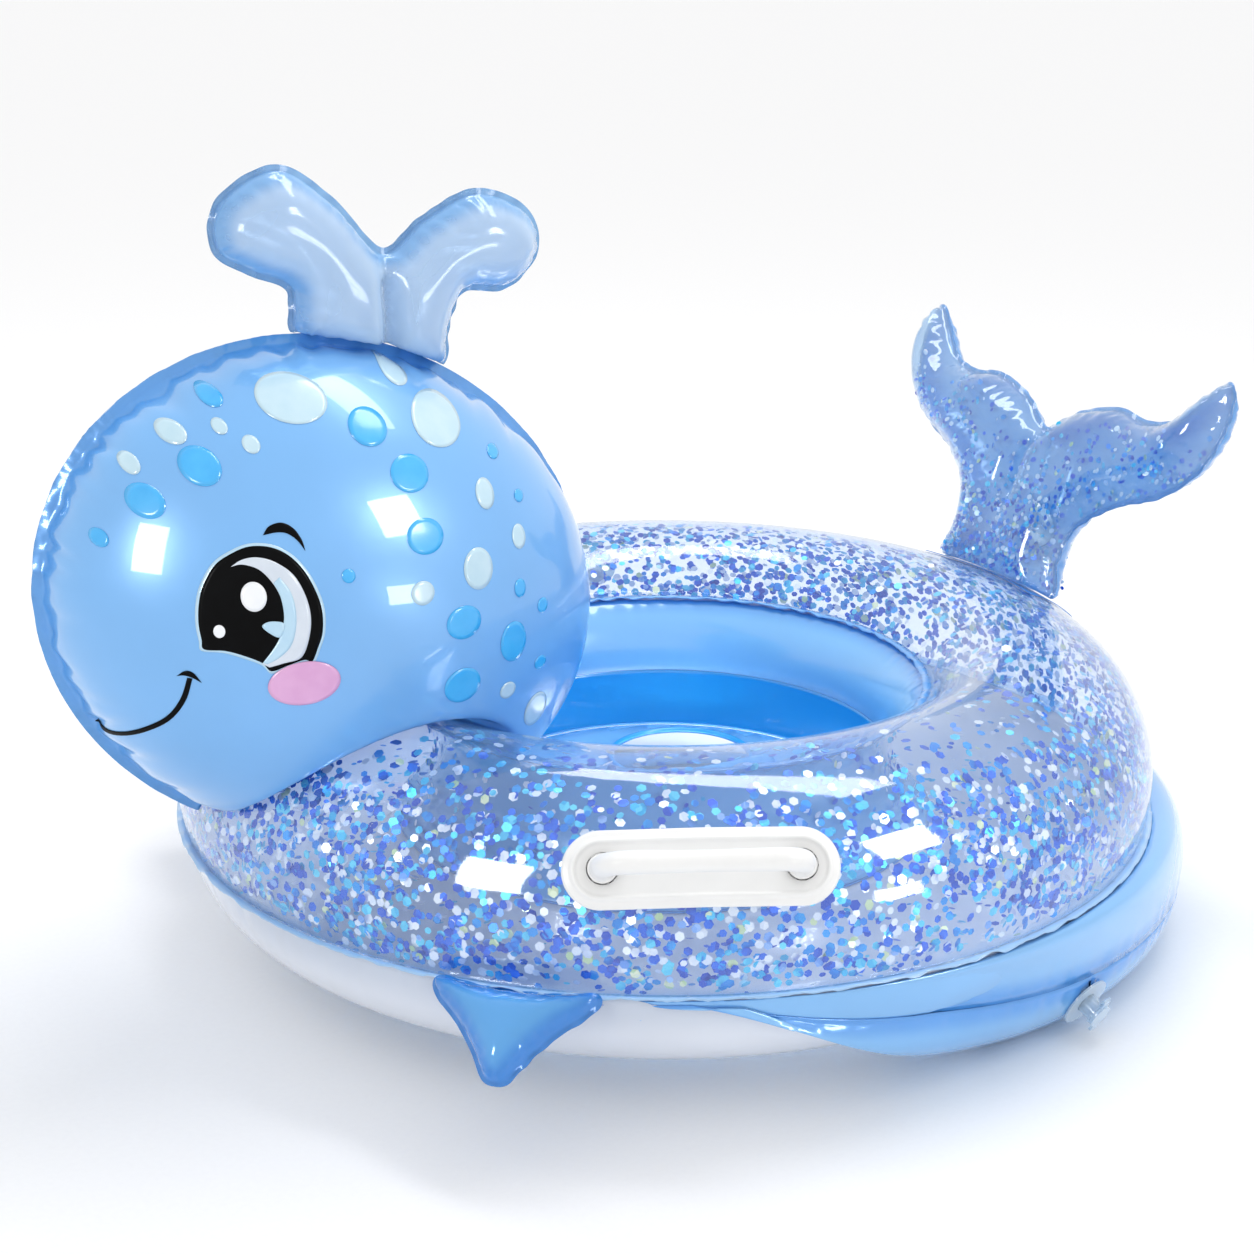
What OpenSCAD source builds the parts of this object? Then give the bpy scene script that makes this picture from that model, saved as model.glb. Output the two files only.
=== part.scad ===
// Inflatable baby pool float shaped like a whale.
// An inflated ring of three welded film panels carries a head with a spout, a tail, two fins,
// two moulded handles, a stabilising bumper tube and a leg-hole seat.
// Millimetres, +Z up, the whale faces -Y, its left side is +X.

/* [Ring tube] */
// Radius from the ring's axis to the middle of its tube
ring_r = 243.5; // [230:1:262]
// Half width of the tube outside its middle line
tube_half_w = 81.5; // [76:1:90]
// Half height of the tube's clear top panel
tube_half_h = 88; // [76:1:96]
// Height of the tube's middle line above the outer seam
tube_mid_up = 26; // [18:1:32]
// How far the white bottom panel hangs below the outer seam
belly_sag = 60; // [52:1:64]
// How far the inner wall bulges into the hole
wall_bulge = 28; // [20:1:34]
// Height of the outer seam above the ground
seam_h = 92; // [88:1:110]
// Thickness of the film
film = 1; // [0.8:0.1:1.5]
// Width of a welded seam flange
flange_w = 5; // [4:0.5:7]

/* [Seat] */
// Radius of the seat floor
seat_r = 143; // [130:1:146]
// Height of the seat floor below the outer seam
seat_down = 12; // [8:1:20]
// Radius of a leg hole
leg_r = 48; // [40:1:52]
// Distance from the middle to a leg hole's centre, sideways
leg_x = 62; // [58:1:68]
// Distance of the leg holes behind the ring's axis
leg_y = 50; // [20:1:54]

/* [Head] */
// Half length of the head
head_half_l = 179; // [150:1:186]
// Half height of the head
head_half_h = 150; // [130:1:160]
// Half width of the head
head_half_w = 118; // [90:1:125]
// Angle by which the head is tipped back
head_tip = 25; // [10:1:30]
// Distance of the head's centre in front of the ring's axis
head_fwd = 241; // [235:1:260]
// Height of the head's centre above the outer seam
head_up = 173; // [165:1:200]

/* [Spout and tail] */
// Size of the water spout against its drawn outline
spout_scale = 1; // [0.85:0.01:1.1]
// Half thickness of the spout
spout_half_t = 26; // [18:1:34]
// Size of the tail against its drawn outline
tail_scale = 1; // [0.85:0.01:1.1]
// Half thickness of the tail
tail_half_t = 27; // [20:1:36]
// Angle by which the tail leans back
tail_lean = 20; // [10:1:30]

/* [Fins and handles] */
// Angle of each fin from the front
fin_at = 45.6; // [42:1:47]
// Reach of a fin beyond the seam
fin_reach = 53; // [40:1:60]
// Half thickness of a fin
fin_half_t = 13; // [8:1:16]
// Angle of each handle from the front
handle_at = 64; // [62:1:80]
// Length of a handle's base plate
plate_l = 155; // [130:1:170]
// Width of a handle's base plate
plate_w = 44; // [38:1:50]
// Height of the grip's middle line above the tube
grip_up = 26; // [22:1:34]
// Diameter of the grip
grip_d = 13; // [10:0.5:15]

/* [Bumper] */
// Radius of the bumper's outer seam
bumper_r = 306; // [298:1:318]
// Distance of the bumper's circle behind the ring's axis
bumper_back = 56; // [44:1:66]
// Half width of the bumper tube
bumper_half_w = 49; // [42:1:54]
// Half height of the bumper tube
bumper_half_h = 45; // [38:1:46]

/* [Valves] */
// Radius of a valve's bore
bore_r = 3.2; // [2.6:0.1:3.6]
// Outer radius of a valve stem
stem_r = 6.5; // [6:0.1:8]
// Radius of a valve's welded base flange
valve_base_r = 17; // [14:0.5:20]
// How far a stem stands out of the film
stem_out = 12; // [11:0.5:14]
// How far a stem pushes into its chamber
stem_push = 8; // [5:0.5:8]
// Radial clearance between a stem and its base
stem_gap = 0.3; // [0.2:0.05:0.5]

/* [Hidden] */

$fn = 64;
soft_gap = 0.3;          // clearance between soft pieces that lie on each other
weld_t = 1.6;            // thickness of a seam flange
small_flange_w = flange_w * 0.7;           // the spout's and the tail's seams are narrower
patch_t = 0.8;           // thickness of a weld patch
rest_gap = patch_t + 2 * soft_gap + 1.6;   // head and tail stand this far off the ring's film

clear_c = [0.80, 0.92, 1.00, 0.45];
white_c = [0.82, 0.84, 0.88];
wall_c = [0.43, 0.71, 0.93];
seat_c = [0.03, 0.60, 0.92];
head_c = [0.50, 0.74, 0.94];
spout_c = [0.66, 0.84, 0.97, 0.8];
fin_c = [0.20, 0.55, 0.93];
bumper_c = [0.56, 0.76, 0.93];
handle_c = [0.93, 0.93, 0.93];
valve_c = [0.85, 0.90, 0.94, 0.8];
glitter_c = [0.12, 0.45, 0.85];

// ---------- small helpers ----------
function unit(v) = v / norm(v);
function flat(rows) = [for (r = rows) each r];
// one stretch of a smooth closed curve through four neighbouring points
function catmull(a, b, c, d, t) =
    0.5 * (2 * b + (c - a) * t + (2 * a - 5 * b + 4 * c - d) * t * t
        + (3 * b - a - 3 * c + d) * t * t * t);
function smooth_loop(p, steps) = let (n = len(p)) [for (i = [0:n - 1], k = [0:steps - 1])
    catmull(p[(i + n - 1) % n], p[i], p[(i + 1) % n], p[(i + 2) % n], k / steps)];
// points of a bulging arc from a to b, bulging to the left of the way by h
function bulge(a, b, h, steps) = let (
    half = norm(b - a) / 2, r = (half * half + h * h) / (2 * h),
    way = unit(b - a), left = [-way.y, way.x], c = (a + b) / 2 + left * (h - r), spread = asin(half / r))
    [for (k = [0:steps]) let (t = spread * (2 * k / steps - 1)) c + left * r * cos(t) + way * r * sin(t)];
// the module below stands its children on a surface at p with their Z along n
module place(p, n) {
    translate(p) rotate([0, acos(n.z), atan2(n.y, n.x)]) children();
}

// ---------- the ring's surface ----------
outer_start = asin((weld_t / 2 - tube_mid_up) / tube_half_h);  // the top panel leaves the outer seam here
inner_end = 144.1;                                             // and meets the inner seam here
function top_at(a, off = 0) =
    [ring_r + (tube_half_w + off) * cos(a), tube_mid_up + (tube_half_h + off) * sin(a)];
function top_normal(a) = unit([cos(a) / tube_half_w, sin(a) / tube_half_h]);
outer_seam = [ring_r + tube_half_w * cos(asin(tube_mid_up / tube_half_h)), 0];
upper_seam = top_at(inner_end);
lower_seam = [upper_seam.x + 3.5, -14];
// height of the top panel over a point at distance rho from the axis, grown by off
wall_half_w = ring_r - (upper_seam.x + lower_seam.x) / 2 + wall_bulge + 1;
function ring_top(rho, off) = let (u = (rho - ring_r) / ((rho < ring_r ? wall_half_w : tube_half_w) + off))
    abs(u) < 1 ? tube_mid_up + (tube_half_h + off) * sqrt(1 - u * u) : -1000;
function lift_off_ring(p, off) = [p.x, p.y, max(p.z, ring_top(norm([p.x, p.y]), off))];
// the bottom panel is one round arc; anything that would lie inside it is pushed out of it
belly_arc = bulge([lower_seam.x, lower_seam.y - weld_t / 2], [outer_seam.x, -weld_t / 2], -belly_sag, 30);
belly_half = norm(belly_arc[30] - belly_arc[0]) / 2;
belly_r = (belly_half * belly_half + belly_sag * belly_sag) / (2 * belly_sag);
belly_way = unit(belly_arc[30] - belly_arc[0]);
belly_mid = (belly_arc[0] + belly_arc[30]) / 2 + [-belly_way.y, belly_way.x] * (belly_r - belly_sag);
function push_off_belly(p, off) = let (
    rho = norm([p.x, p.y]), q = [rho, p.z] - belly_mid, d = norm(q), r = belly_r + off,
    s = d < r ? belly_mid + q * r / d : [rho, p.z])
    [p.x * s.x / rho, p.y * s.x / rho, s.y];

// a film strip that follows a line of points, given with its offset line on the other side
module spun(outer, inner) {
    rotate_extrude($fn = 120) polygon(concat(outer, [for (k = [len(inner) - 1:-1:0]) inner[k]]));
}
module in_frame() { translate([0, ring_y, seam_h]) children(); }

// ---------- closed film bags ----------
// two grids of points, outside and inside, whose columns run round and whose rows end in a pole
module dome(o, i, top_o, top_i, flip = false) {
    n = len(o);
    m = len(o[0]);
    s = n * m;
    outside = [for (r = [0:n - 2], c = [0:m - 1]) let (a = r * m + c, b = r * m + (c + 1) % m)
        each [[a, a + m, b + m], [a, b + m, b]]];
    crown = [for (c = [0:m - 1]) [(n - 1) * m + c, 2 * s, (n - 1) * m + (c + 1) % m]];
    inside = [for (f = outside) [f[2] + s, f[1] + s, f[0] + s]];
    under = [for (f = crown) [f[2] + s, 2 * s + 1, f[0] + s]];
    rim = [for (c = [0:m - 1]) let (a = c, b = (c + 1) % m) each [[a, b, b + s], [a, b + s, a + s]]];
    all_faces = concat(outside, crown, inside, under, rim);
    polyhedron(concat(flat(o), flat(i), [top_o, top_i]),
        flip ? [for (f = all_faces) [f[2], f[1], f[0]]] : all_faces);
}
// two open grids of points, joined along all four borders
module sheet(o, i, flip = false) {
    n = len(o);
    m = len(o[0]);
    s = n * m;
    outside = [for (r = [0:n - 2], c = [0:m - 2]) let (a = r * m + c)
        each [[a, a + m, a + m + 1], [a, a + m + 1, a + 1]]];
    inside = [for (f = outside) [f[2] + s, f[1] + s, f[0] + s]];
    ends = [for (c = [0:m - 2]) let (a = c, b = (n - 1) * m + c)
        each [[a, a + 1, a + 1 + s], [a, a + 1 + s, a + s], [b, b + s, b + 1 + s], [b, b + 1 + s, b + 1]]];
    sides = [for (r = [0:n - 2]) let (a = r * m, b = r * m + m - 1)
        each [[a, a + s, a + m + s], [a, a + m + s, a + m], [b, b + m, b + m + s], [b, b + m + s, b + s]]];
    all_faces = concat(outside, inside, ends, sides);
    polyhedron(concat(flat(o), flat(i)), flip ? [for (f = all_faces) [f[2], f[1], f[0]]] : all_faces);
}
// rows of a pillow's grid in its own plane: flange edge, weld line, then rings that close on c;
// each entry is [u, v, w], and t is how far the surface lies inside the outer one
function pillow_rows(line, c, depth, steps, t, fl) = concat(
    [[for (p = line) let (q = p + unit(p - c) * fl) [q.x, q.y, t > 0 ? 0 : weld_t / 2]],
     [for (p = line) let (q = p - unit(p - c) * t) [q.x, q.y, t > 0 ? 0 : weld_t / 2]]],
    [for (k = [1:steps]) let (a = 90 * k / (steps + 1))
        [for (p = line) let (q = c + (p - c - unit(p - c) * t) * cos(a)) [q.x, q.y, (depth - t) * sin(a)]]]);

// ---------- head ----------
head_mid = [-head_fwd, head_up];
function tipped(p) = [p.x * cos(head_tip) + p.y * sin(head_tip), p.y * cos(head_tip) - p.x * sin(head_tip)];
function untipped(p) =
    [p.x * cos(head_tip) - p.y * sin(head_tip), p.y * cos(head_tip) + p.x * sin(head_tip)];
head_line = [for (k = [0:39]) head_mid + tipped([head_half_l * cos(9 * k), head_half_h * sin(9 * k)])];
head_front = min([for (p = head_line) (p + unit(p - head_mid) * flange_w).x]);
function head_map(p, off) = lift_off_ring([p.z, p.x, p.y], off);
function head_grid(t) = [for (row = pillow_rows(head_line, head_mid, head_half_w, 7, t, flange_w))
    [for (p = row) head_map(p, rest_gap + t)]];
// a direction on the head's ellipsoid gives a point of the skin and the way it faces
function head_point(d) = let (q = head_mid + tipped([head_half_l * d.y, head_half_h * d.z]))
    [head_half_w * d.x, q.x, q.y];
function head_normal(d) = let (q = tipped([d.y / head_half_l, d.z / head_half_h]))
    unit([d.x / head_half_w, q.x, q.y]);
// pushes a point of the spout out of the head
function lift_off_head(p, off) = let (
    q = untipped([p.y, p.z] - head_mid),
    e = [p.x / (head_half_w + off), q.x / (head_half_l + off), q.y / (head_half_h + off)], d = norm(e))
    d < 1 ? let (s = head_mid + tipped([q.x / d, q.y / d])) [p.x / d, s.x, s.y] : p;

module head_panel() {
    o = head_grid(0);
    i = head_grid(film);
    color(head_c) dome(o, i, [head_half_w, head_mid.x, head_mid.y],
        [head_half_w - film, head_mid.x, head_mid.y]);
}
head_valve_d = unit([-0.72, 0.62, 0.30]);
module head_panel_left() { in_frame() head_panel(); }
module head_panel_right() {
    in_frame() difference() {
        mirror([1, 0, 0]) head_panel();
        place(head_point(head_valve_d), head_normal(head_valve_d)) valve_hole();
    }
}

// ---------- spout ----------
spout_foot = [-206, 321];      // where the spout stands on the head, as [y, z]
spout_mid = spout_foot + spout_scale * [13, 29];
spout_shape = [[-46, 14], [-48, 40], [-72, 52], [-92, 66], [-88, 92], [-54, 108], [-22, 88], [10, 55],
    [38, 72], [72, 86], [104, 74], [112, 50], [92, 30], [62, 30], [50, 6], [46, -14], [10, -8], [-30, 4]];
spout_line = smooth_loop([for (p = spout_shape) spout_foot + spout_scale * p], 2);
function spout_grid(t) =
    [for (row = pillow_rows(spout_line, spout_mid, spout_half_t, 3, t, small_flange_w))
        [for (p = row) lift_off_head([p.z, p.x, p.y], flange_w + 1 + t)]];
module spout_panel() {
    color(spout_c) dome(spout_grid(0), spout_grid(film),
        [spout_half_t, spout_mid.x, spout_mid.y], [spout_half_t - film, spout_mid.x, spout_mid.y]);
}
module spout_panel_left() { in_frame() spout_panel(); }
module spout_panel_right() { in_frame() mirror([1, 0, 0]) spout_panel(); }

// ---------- tail ----------
tail_y = ring_r + tube_half_w * 0.43;             // the tail stands on the ring's rear top
tail_foot = [0, tail_y, ring_top(tail_y, rest_gap)];
tail_up = [0, sin(tail_lean), cos(tail_lean)];
tail_face = [0, -cos(tail_lean), sin(tail_lean)];
tail_mid = tail_scale * [0, 72];
tail_half = [[58, -4], [53, 22], [60, 50], [92, 74], [130, 90], [156, 114], [166, 146], [160, 170],
    [146, 160], [124, 138], [96, 131], [66, 134], [30, 124]];
tail_shape = concat([[0, -6]], tail_half, [[0, 106]],
    [for (k = [len(tail_half) - 1:-1:0]) [-tail_half[k].x, tail_half[k].y]]);
tail_line = smooth_loop([for (p = tail_shape) tail_scale * p], 2);
function tail_map(p, side, off) =
    lift_off_ring(tail_foot + [p.x, 0, 0] + tail_up * p.y + tail_face * side * p.z, off);
function tail_grid(side, t) =
    [for (row = pillow_rows(tail_line, tail_mid, tail_half_t, 3, t, small_flange_w))
        [for (p = row) tail_map(p, side, rest_gap + t)]];
module tail_panel(side) {
    dome(tail_grid(side, 0), tail_grid(side, film), tail_map([0, tail_mid.y, tail_half_t], side, 0),
        tail_map([0, tail_mid.y, tail_half_t - film], side, 0), side < 0);
}
tail_valve_v = 40 * tail_scale;
tail_valve_f = (tail_mid.y - tail_valve_v) / (tail_mid.y + 6 * tail_scale);
tail_valve_p = tail_map([0, tail_valve_v, tail_half_t * sqrt(1 - tail_valve_f * tail_valve_f)], -1, 0);
tail_valve_n = unit(-tail_face
    - tail_up * tail_half_t * tail_valve_f / (tail_mid.y * sqrt(1 - tail_valve_f * tail_valve_f)));
module tail_panel_front() { color(clear_c) in_frame() tail_panel(1); }
module tail_panel_back() {
    color(fin_c) in_frame() difference() {
        tail_panel(-1);
        place(tail_valve_p, tail_valve_n) valve_hole();
    }
}

// ---------- ring ----------
ring_valve_a = 20;                                   // the ring's valve sits at this angle of the tube
ring_valve_p = let (q = top_at(ring_valve_a)) [q.x, 0, q.y];
ring_valve_n = let (n = top_normal(ring_valve_a)) [n.x, 0, n.y];
ring_valve_az = 160;                                 // and at this angle from +X
module ring_top_panel() {
    arc = [for (k = [0:36]) outer_start + (inner_end - outer_start) * k / 36];
    color(clear_c) in_frame() difference() {
        spun([for (a = arc) top_at(a)], [for (a = arc) top_at(a, -film)]);
        rotate(ring_valve_az) place(ring_valve_p, ring_valve_n) valve_hole();
    }
}
module ring_bottom_panel() {
    from = [lower_seam.x, lower_seam.y - weld_t / 2];
    to = [outer_seam.x, -weld_t / 2];
    color(white_c) in_frame() spun(bulge(from, to, -belly_sag, 30),
        bulge(from + [film, 0], to - [film, 0], film - belly_sag, 30));
}
wall_from = [upper_seam.x, upper_seam.y - weld_t];
wall_to = [lower_seam.x, lower_seam.y + weld_t / 2];
wall_face = bulge(wall_from, wall_to, -wall_bulge, 20);
module ring_inner_panel() {
    color(wall_c) in_frame()
        spun(wall_face, bulge(wall_from + [film, 0], wall_to + [film, 0], -wall_bulge, 20));
}
module flange(at, inward) {
    rotate_extrude($fn = 120) translate([at.x - (inward ? flange_w : film), at.y - weld_t / 2])
        square([flange_w + film, weld_t]);
}
module outer_seam_flange() { color(clear_c) in_frame() flange(outer_seam, false); }
module upper_seam_flange() {
    color(wall_c) in_frame() flange(upper_seam - [film - 0.1, weld_t / 2], true);
}
module lower_seam_flange() { color(wall_c) in_frame() flange(lower_seam, true); }

// loose foil flakes lie just under the clear panels
flake_r = 3;
flake_t = 0.4;
flake_n = 60;
module flake() { cylinder(r = flake_r, h = flake_t, center = true, $fn = 6); }
module ring_glitter() {
    color(glitter_c) in_frame() for (k = [0:flake_n - 1]) {
        a = -8 + 148 * ((k * 0.618) % 1);
        q = top_at(a, -film - flake_t / 2 - soft_gap);
        n = top_normal(a);
        rotate(k * 137.5) place([q.x, 0, q.y], [n.x, 0, n.y]) flake();
    }
}
module tail_glitter() {
    row = tail_grid(1, film)[4];
    color(glitter_c) in_frame() for (k = [0:4:len(row) - 1])
        place(row[k] - tail_face * (soft_gap + 4 * flake_t), tail_face) flake();
}

// ---------- weld patches under the head and the tail ----------
module patch(az, spread, a0, a1) {
    arc = [for (k = [0:12]) a0 + (a1 - a0) * k / 12];
    rotate(az - spread / 2) rotate_extrude(angle = spread, $fn = 120) polygon(concat(
        [for (a = arc) top_at(a, soft_gap + patch_t)],
        [for (k = [12:-1:0]) top_at(arc[k], soft_gap)]));
}
module head_weld_patch() { color(head_c) in_frame() patch(-90, 38, 58, 118); }
module tail_weld_patch() { color(fin_c) in_frame() patch(90, 27, 48, 74); }

// ---------- seat ----------
seat_top = 28;                                       // the seat's upper weld, above the outer seam
wall_in = min([for (p = wall_face) p.x]);            // the narrowest place of the hole
module seat_wall() {
    up = [wall_in - soft_gap, seat_top];
    down = [seat_r + film, -seat_down];
    color(seat_c) in_frame() rotate_extrude($fn = 120)
        polygon([up, down, down - [film, 0], up - [film, 0]]);
}
module seat_floor() {
    color(seat_c) in_frame() translate([0, 0, -seat_down - film]) difference() {
        cylinder(r = seat_r, h = film, $fn = 120);
        for (s = [-1, 1]) translate([s * leg_x, leg_y, -1]) cylinder(r = leg_r, h = film + 2);
    }
}
collar_w = 4;
module leg_collar(s) {
    color(seat_c) in_frame() translate([s * leg_x, leg_y, -seat_down]) difference() {
        cylinder(r = leg_r + collar_w, h = 2);
        translate([0, 0, -1]) cylinder(r = leg_r, h = 4);
    }
}
module leg_collar_left() { leg_collar(1); }
module leg_collar_right() { leg_collar(-1); }
saddle_r = leg_x - leg_r - collar_w - 2;
saddle_l = 64;
module seat_saddle() {
    color(seat_c) in_frame() translate([0, leg_y, saddle_r - seat_down + soft_gap]) {
        rotate([90, 0, 0]) cylinder(r = saddle_r, h = saddle_l, center = true);
        for (s = [-1, 1]) translate([0, s * saddle_l / 2, 0]) sphere(saddle_r);
    }
}

// ---------- fins ----------
fin_drop = 41;                                       // a fin hangs this far below level, in degrees
fin_out = outer_seam.x + flange_w - 1;
fin_shape = [[-46, -3.5], [-24, -1], [0, 0], [24, -1], [46, -3.5], [44, 6], [29, 20],
    [16, 36], [7, 50], [0, 53], [-7, 50], [-16, 36], [-29, 20], [-44, 6]];
fin_line = smooth_loop([for (p = fin_shape) [p.x, p.y * fin_reach / 53 + 2]], 2);
fin_az = [sin(fin_at), -cos(fin_at), 0];
fin_side = [cos(fin_at), sin(fin_at), 0];
fin_way = fin_az * cos(fin_drop) - [0, 0, sin(fin_drop)];
fin_face = cross(fin_side, fin_way);
function fin_map(p, side) = fin_az * fin_out + fin_side * p.x + fin_way * p.y + fin_face * side * p.z;
function fin_grid(side, t) = [for (row = pillow_rows(fin_line, [0, 18], fin_half_t, 2, t, 0))
    [for (p = row) fin_map(p, side)]];
module fin_panel(side) {
    color(fin_c) dome(fin_grid(side, 0), fin_grid(side, film), fin_map([0, 18, fin_half_t], side),
        fin_map([0, 18, fin_half_t - film], side), side < 0);
}
module fin_upper_left() { in_frame() fin_panel(1); }
module fin_lower_left() { in_frame() fin_panel(-1); }
module fin_upper_right() { in_frame() mirror([1, 0, 0]) fin_panel(1); }
module fin_lower_right() { in_frame() mirror([1, 0, 0]) fin_panel(-1); }

// ---------- handles ----------
plate_mid = 33;                                      // place of the handle on the tube, in degrees
plate_t = 2.5;
rim_t = 4.5;
handle_n = top_normal(plate_mid);
grip_l = 110;                                        // distance between the grip's two legs
module stadium(l, w) {
    square([w, l - w], center = true);
    for (s = [-1, 1]) translate([0, s * (l - w) / 2]) circle(d = w);
}
module cover(lo, hi) {
    arc = [for (k = [0:8]) plate_mid - 20 + 5 * k];
    rotate(-25) rotate_extrude(angle = 50, $fn = 120) polygon(concat(
        [for (a = arc) top_at(a, hi)], [for (k = [8:-1:0]) top_at(arc[k], lo)]));
}
module on_tube() {
    p = top_at(plate_mid);
    place([p.x, 0, p.y], [handle_n.x, 0, handle_n.y]) children();
}
module handle_plate() {
    color(handle_c) {
        intersection() {
            cover(soft_gap, soft_gap + plate_t);
            on_tube() linear_extrude(60, center = true) stadium(plate_l, plate_w);
        }
        intersection() {
            cover(soft_gap, soft_gap + rim_t);
            on_tube() linear_extrude(60, center = true) difference() {
                stadium(plate_l - 9, plate_w - 9);
                stadium(plate_l - 15, plate_w - 15);
            }
        }
    }
}
module handle_grip() {
    color(handle_c) difference() {
        on_tube() {
            translate([0, 0, grip_up]) rotate([90, 0, 0]) cylinder(d = grip_d, h = grip_l, center = true);
            for (s = [-1, 1]) translate([0, s * grip_l / 2, 0]) {
                cylinder(d = grip_d, h = grip_up);
                translate([0, 0, grip_up]) sphere(d = grip_d);
            }
        }
        cover(-film - 20, 2 * soft_gap + plate_t);
    }
}
module at_handle() { in_frame() rotate(handle_at - 90) children(); }
module mirrored_at_handle() { in_frame() mirror([1, 0, 0]) rotate(handle_at - 90) children(); }
module handle_plate_left() { at_handle() handle_plate(); }
module handle_grip_left() { at_handle() handle_grip(); }
module handle_plate_right() { mirrored_at_handle() handle_plate(); }
module handle_grip_right() { mirrored_at_handle() handle_grip(); }

// ---------- bumper ----------
rest_flat = 3;                                       // the tube is pressed this flat where it rests
bumper_z = bumper_half_h - rest_flat - seam_h;       // the bumper's middle line
bumper_end = 130;                                    // its ends, in degrees from the rear
bumper_gap = 1.8;                                    // its clearance from the ring's faceted belly
function taper(s) = sqrt(1 - 0.985 * pow(abs(s), 8));
// a point of the upper (a > 0) or lower panel; where the ends taper to nothing the panels lie in layers
function bumper_point(s, a, t) = let (
    k = taper(s), w = bumper_half_w * k - t, h = bumper_half_h * k - t, b = bumper_end * s,
    r = bumper_r - bumper_half_w * k + w * cos(a), z = max(bumper_z + h * sin(a), t - seam_h))
    push_off_belly([r * sin(b), bumper_back + r * cos(b), z],
        bumper_gap + (a > 0 ? t : 3.5 * film - t));
// a line of points, spread evenly along itself
function lengths(p) = [for (i = 0, d = 0; i < len(p);
    i = i + 1, d = d + (i < len(p) ? norm(p[i] - p[i - 1]) : 0)) d];
function evenly(p, n) = let (d = lengths(p))
    [for (k = [0:n]) [for (c = [0:2])
        lookup(d[len(p) - 1] * k / n, [for (i = [0:len(p) - 1]) [d[i], p[i][c]]])]];
// the cross-lines crowd towards the ends, where the tube tapers fast
function bumper_grid(a0, a1, t) = [for (k = [-25:25]) let (s = 0.35 * k / 25 + 0.65 * sin(90 * k / 25))
    evenly([for (j = [0:90]) bumper_point(s, a0 + (a1 - a0) * j / 90, t)], 12)];
bumper_valve_az = 14.4;                              // the bumper's valve, as an angle from +X
bumper_valve_a = -24;
bumper_valve_p = [bumper_r - bumper_half_w + bumper_half_w * cos(bumper_valve_a), 0,
    bumper_z + bumper_half_h * sin(bumper_valve_a)];
bumper_valve_n = unit([cos(bumper_valve_a) / bumper_half_w, 0, sin(bumper_valve_a) / bumper_half_h]);
module at_bumper_valve() {
    translate([0, bumper_back, 0]) rotate(bumper_valve_az) place(bumper_valve_p, bumper_valve_n) children();
}
module bumper_panel_upper() {
    color(bumper_c) in_frame() sheet(bumper_grid(1, 179, 0), bumper_grid(1, 179, film));
}
module bumper_panel_lower() {
    color(bumper_c) in_frame() difference() {
        sheet(bumper_grid(-1, -179, 0), bumper_grid(-1, -179, film), true);
        at_bumper_valve() valve_hole();
    }
}

// ---------- valves ----------
base_t = 1.2;
flap_t = 0.6;
collar_r = stem_r + 1.5;
hinge_x = collar_r + 4;                              // the strap folds here, beside the stem
hinge_r = 1.2;
plug_r = bore_r - 0.1;
plug_l = 6;
stem_in = 10;
// the plug narrows so that it swings out of the bore about its strap
function plug_radius(d) = min(plug_r, sqrt(pow(hinge_x + bore_r, 2) - d * d) - hinge_x - 0.1);
module valve_hole() { cylinder(r = stem_r + 2 * stem_gap, h = 30, center = true); }
module valve_base() {
    color(valve_c) translate([0, 0, soft_gap]) difference() {
        cylinder(r = valve_base_r, h = base_t);
        translate([0, 0, -1]) cylinder(r = stem_r + stem_gap, h = base_t + 2);
    }
}
module valve_stem() {
    color(valve_c) difference() {
        union() {
            translate([0, 0, -stem_in]) cylinder(r = stem_r, h = stem_in + stem_out);
            translate([0, 0, stem_out - 2]) cylinder(r = collar_r, h = 2);
            translate([-hinge_x + hinge_r + soft_gap, -3, stem_out - 1.6]) cube([6, 6, 1.2]);
        }
        translate([0, 0, -stem_in - 1]) cylinder(r = bore_r, h = stem_in + stem_out + 2);
    }
}
module valve_flap() {
    color(valve_c) translate([0, 0, -stem_in - flap_t]) cylinder(r = stem_r - 1, h = flap_t);
}
module valve_plug() {
    color(valve_c) translate([0, 0, stem_out]) {
        rotate_extrude() polygon(concat([[0, soft_gap + 2], [0, -plug_l]],
            [for (d = [plug_l:-1:0]) [plug_radius(d), -d]],
            [[plug_r, soft_gap], [collar_r, soft_gap], [collar_r, soft_gap + 2]]));
        translate([collar_r - 1, -2.5, soft_gap]) cube([5, 5, 2]);
        translate([-hinge_x, -3, soft_gap]) cube([6, 6, 0.9]);
        translate([-hinge_x, 0, 0]) rotate([90, 0, 0]) cylinder(r = hinge_r, h = 6, center = true);
    }
}
module at_ring_valve() { in_frame() rotate(ring_valve_az) place(ring_valve_p, ring_valve_n) children(); }
module at_head_valve() { in_frame() place(head_point(head_valve_d), head_normal(head_valve_d)) children(); }
module at_tail_valve() { in_frame() place(tail_valve_p, tail_valve_n) children(); }
module ring_valve_base() { at_ring_valve() valve_base(); }
module ring_valve_stem() { at_ring_valve() valve_stem(); }
module ring_valve_flap() { at_ring_valve() valve_flap(); }
module ring_valve_plug() { at_ring_valve() valve_plug(); }
module head_valve_base() { at_head_valve() valve_base(); }
module head_valve_stem() { at_head_valve() valve_stem(); }
module head_valve_flap() { at_head_valve() valve_flap(); }
module head_valve_plug() { at_head_valve() valve_plug(); }
module tail_valve_base() { at_tail_valve() valve_base(); }
module tail_valve_stem() { at_tail_valve() valve_stem(); }
module tail_valve_flap() { at_tail_valve() valve_flap(); }
module tail_valve_plug() { at_tail_valve() valve_plug(); }
module bumper_valve_base() { in_frame() at_bumper_valve() valve_base(); }
module bumper_valve_stem() { in_frame() at_bumper_valve() valve_stem(); }
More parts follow.
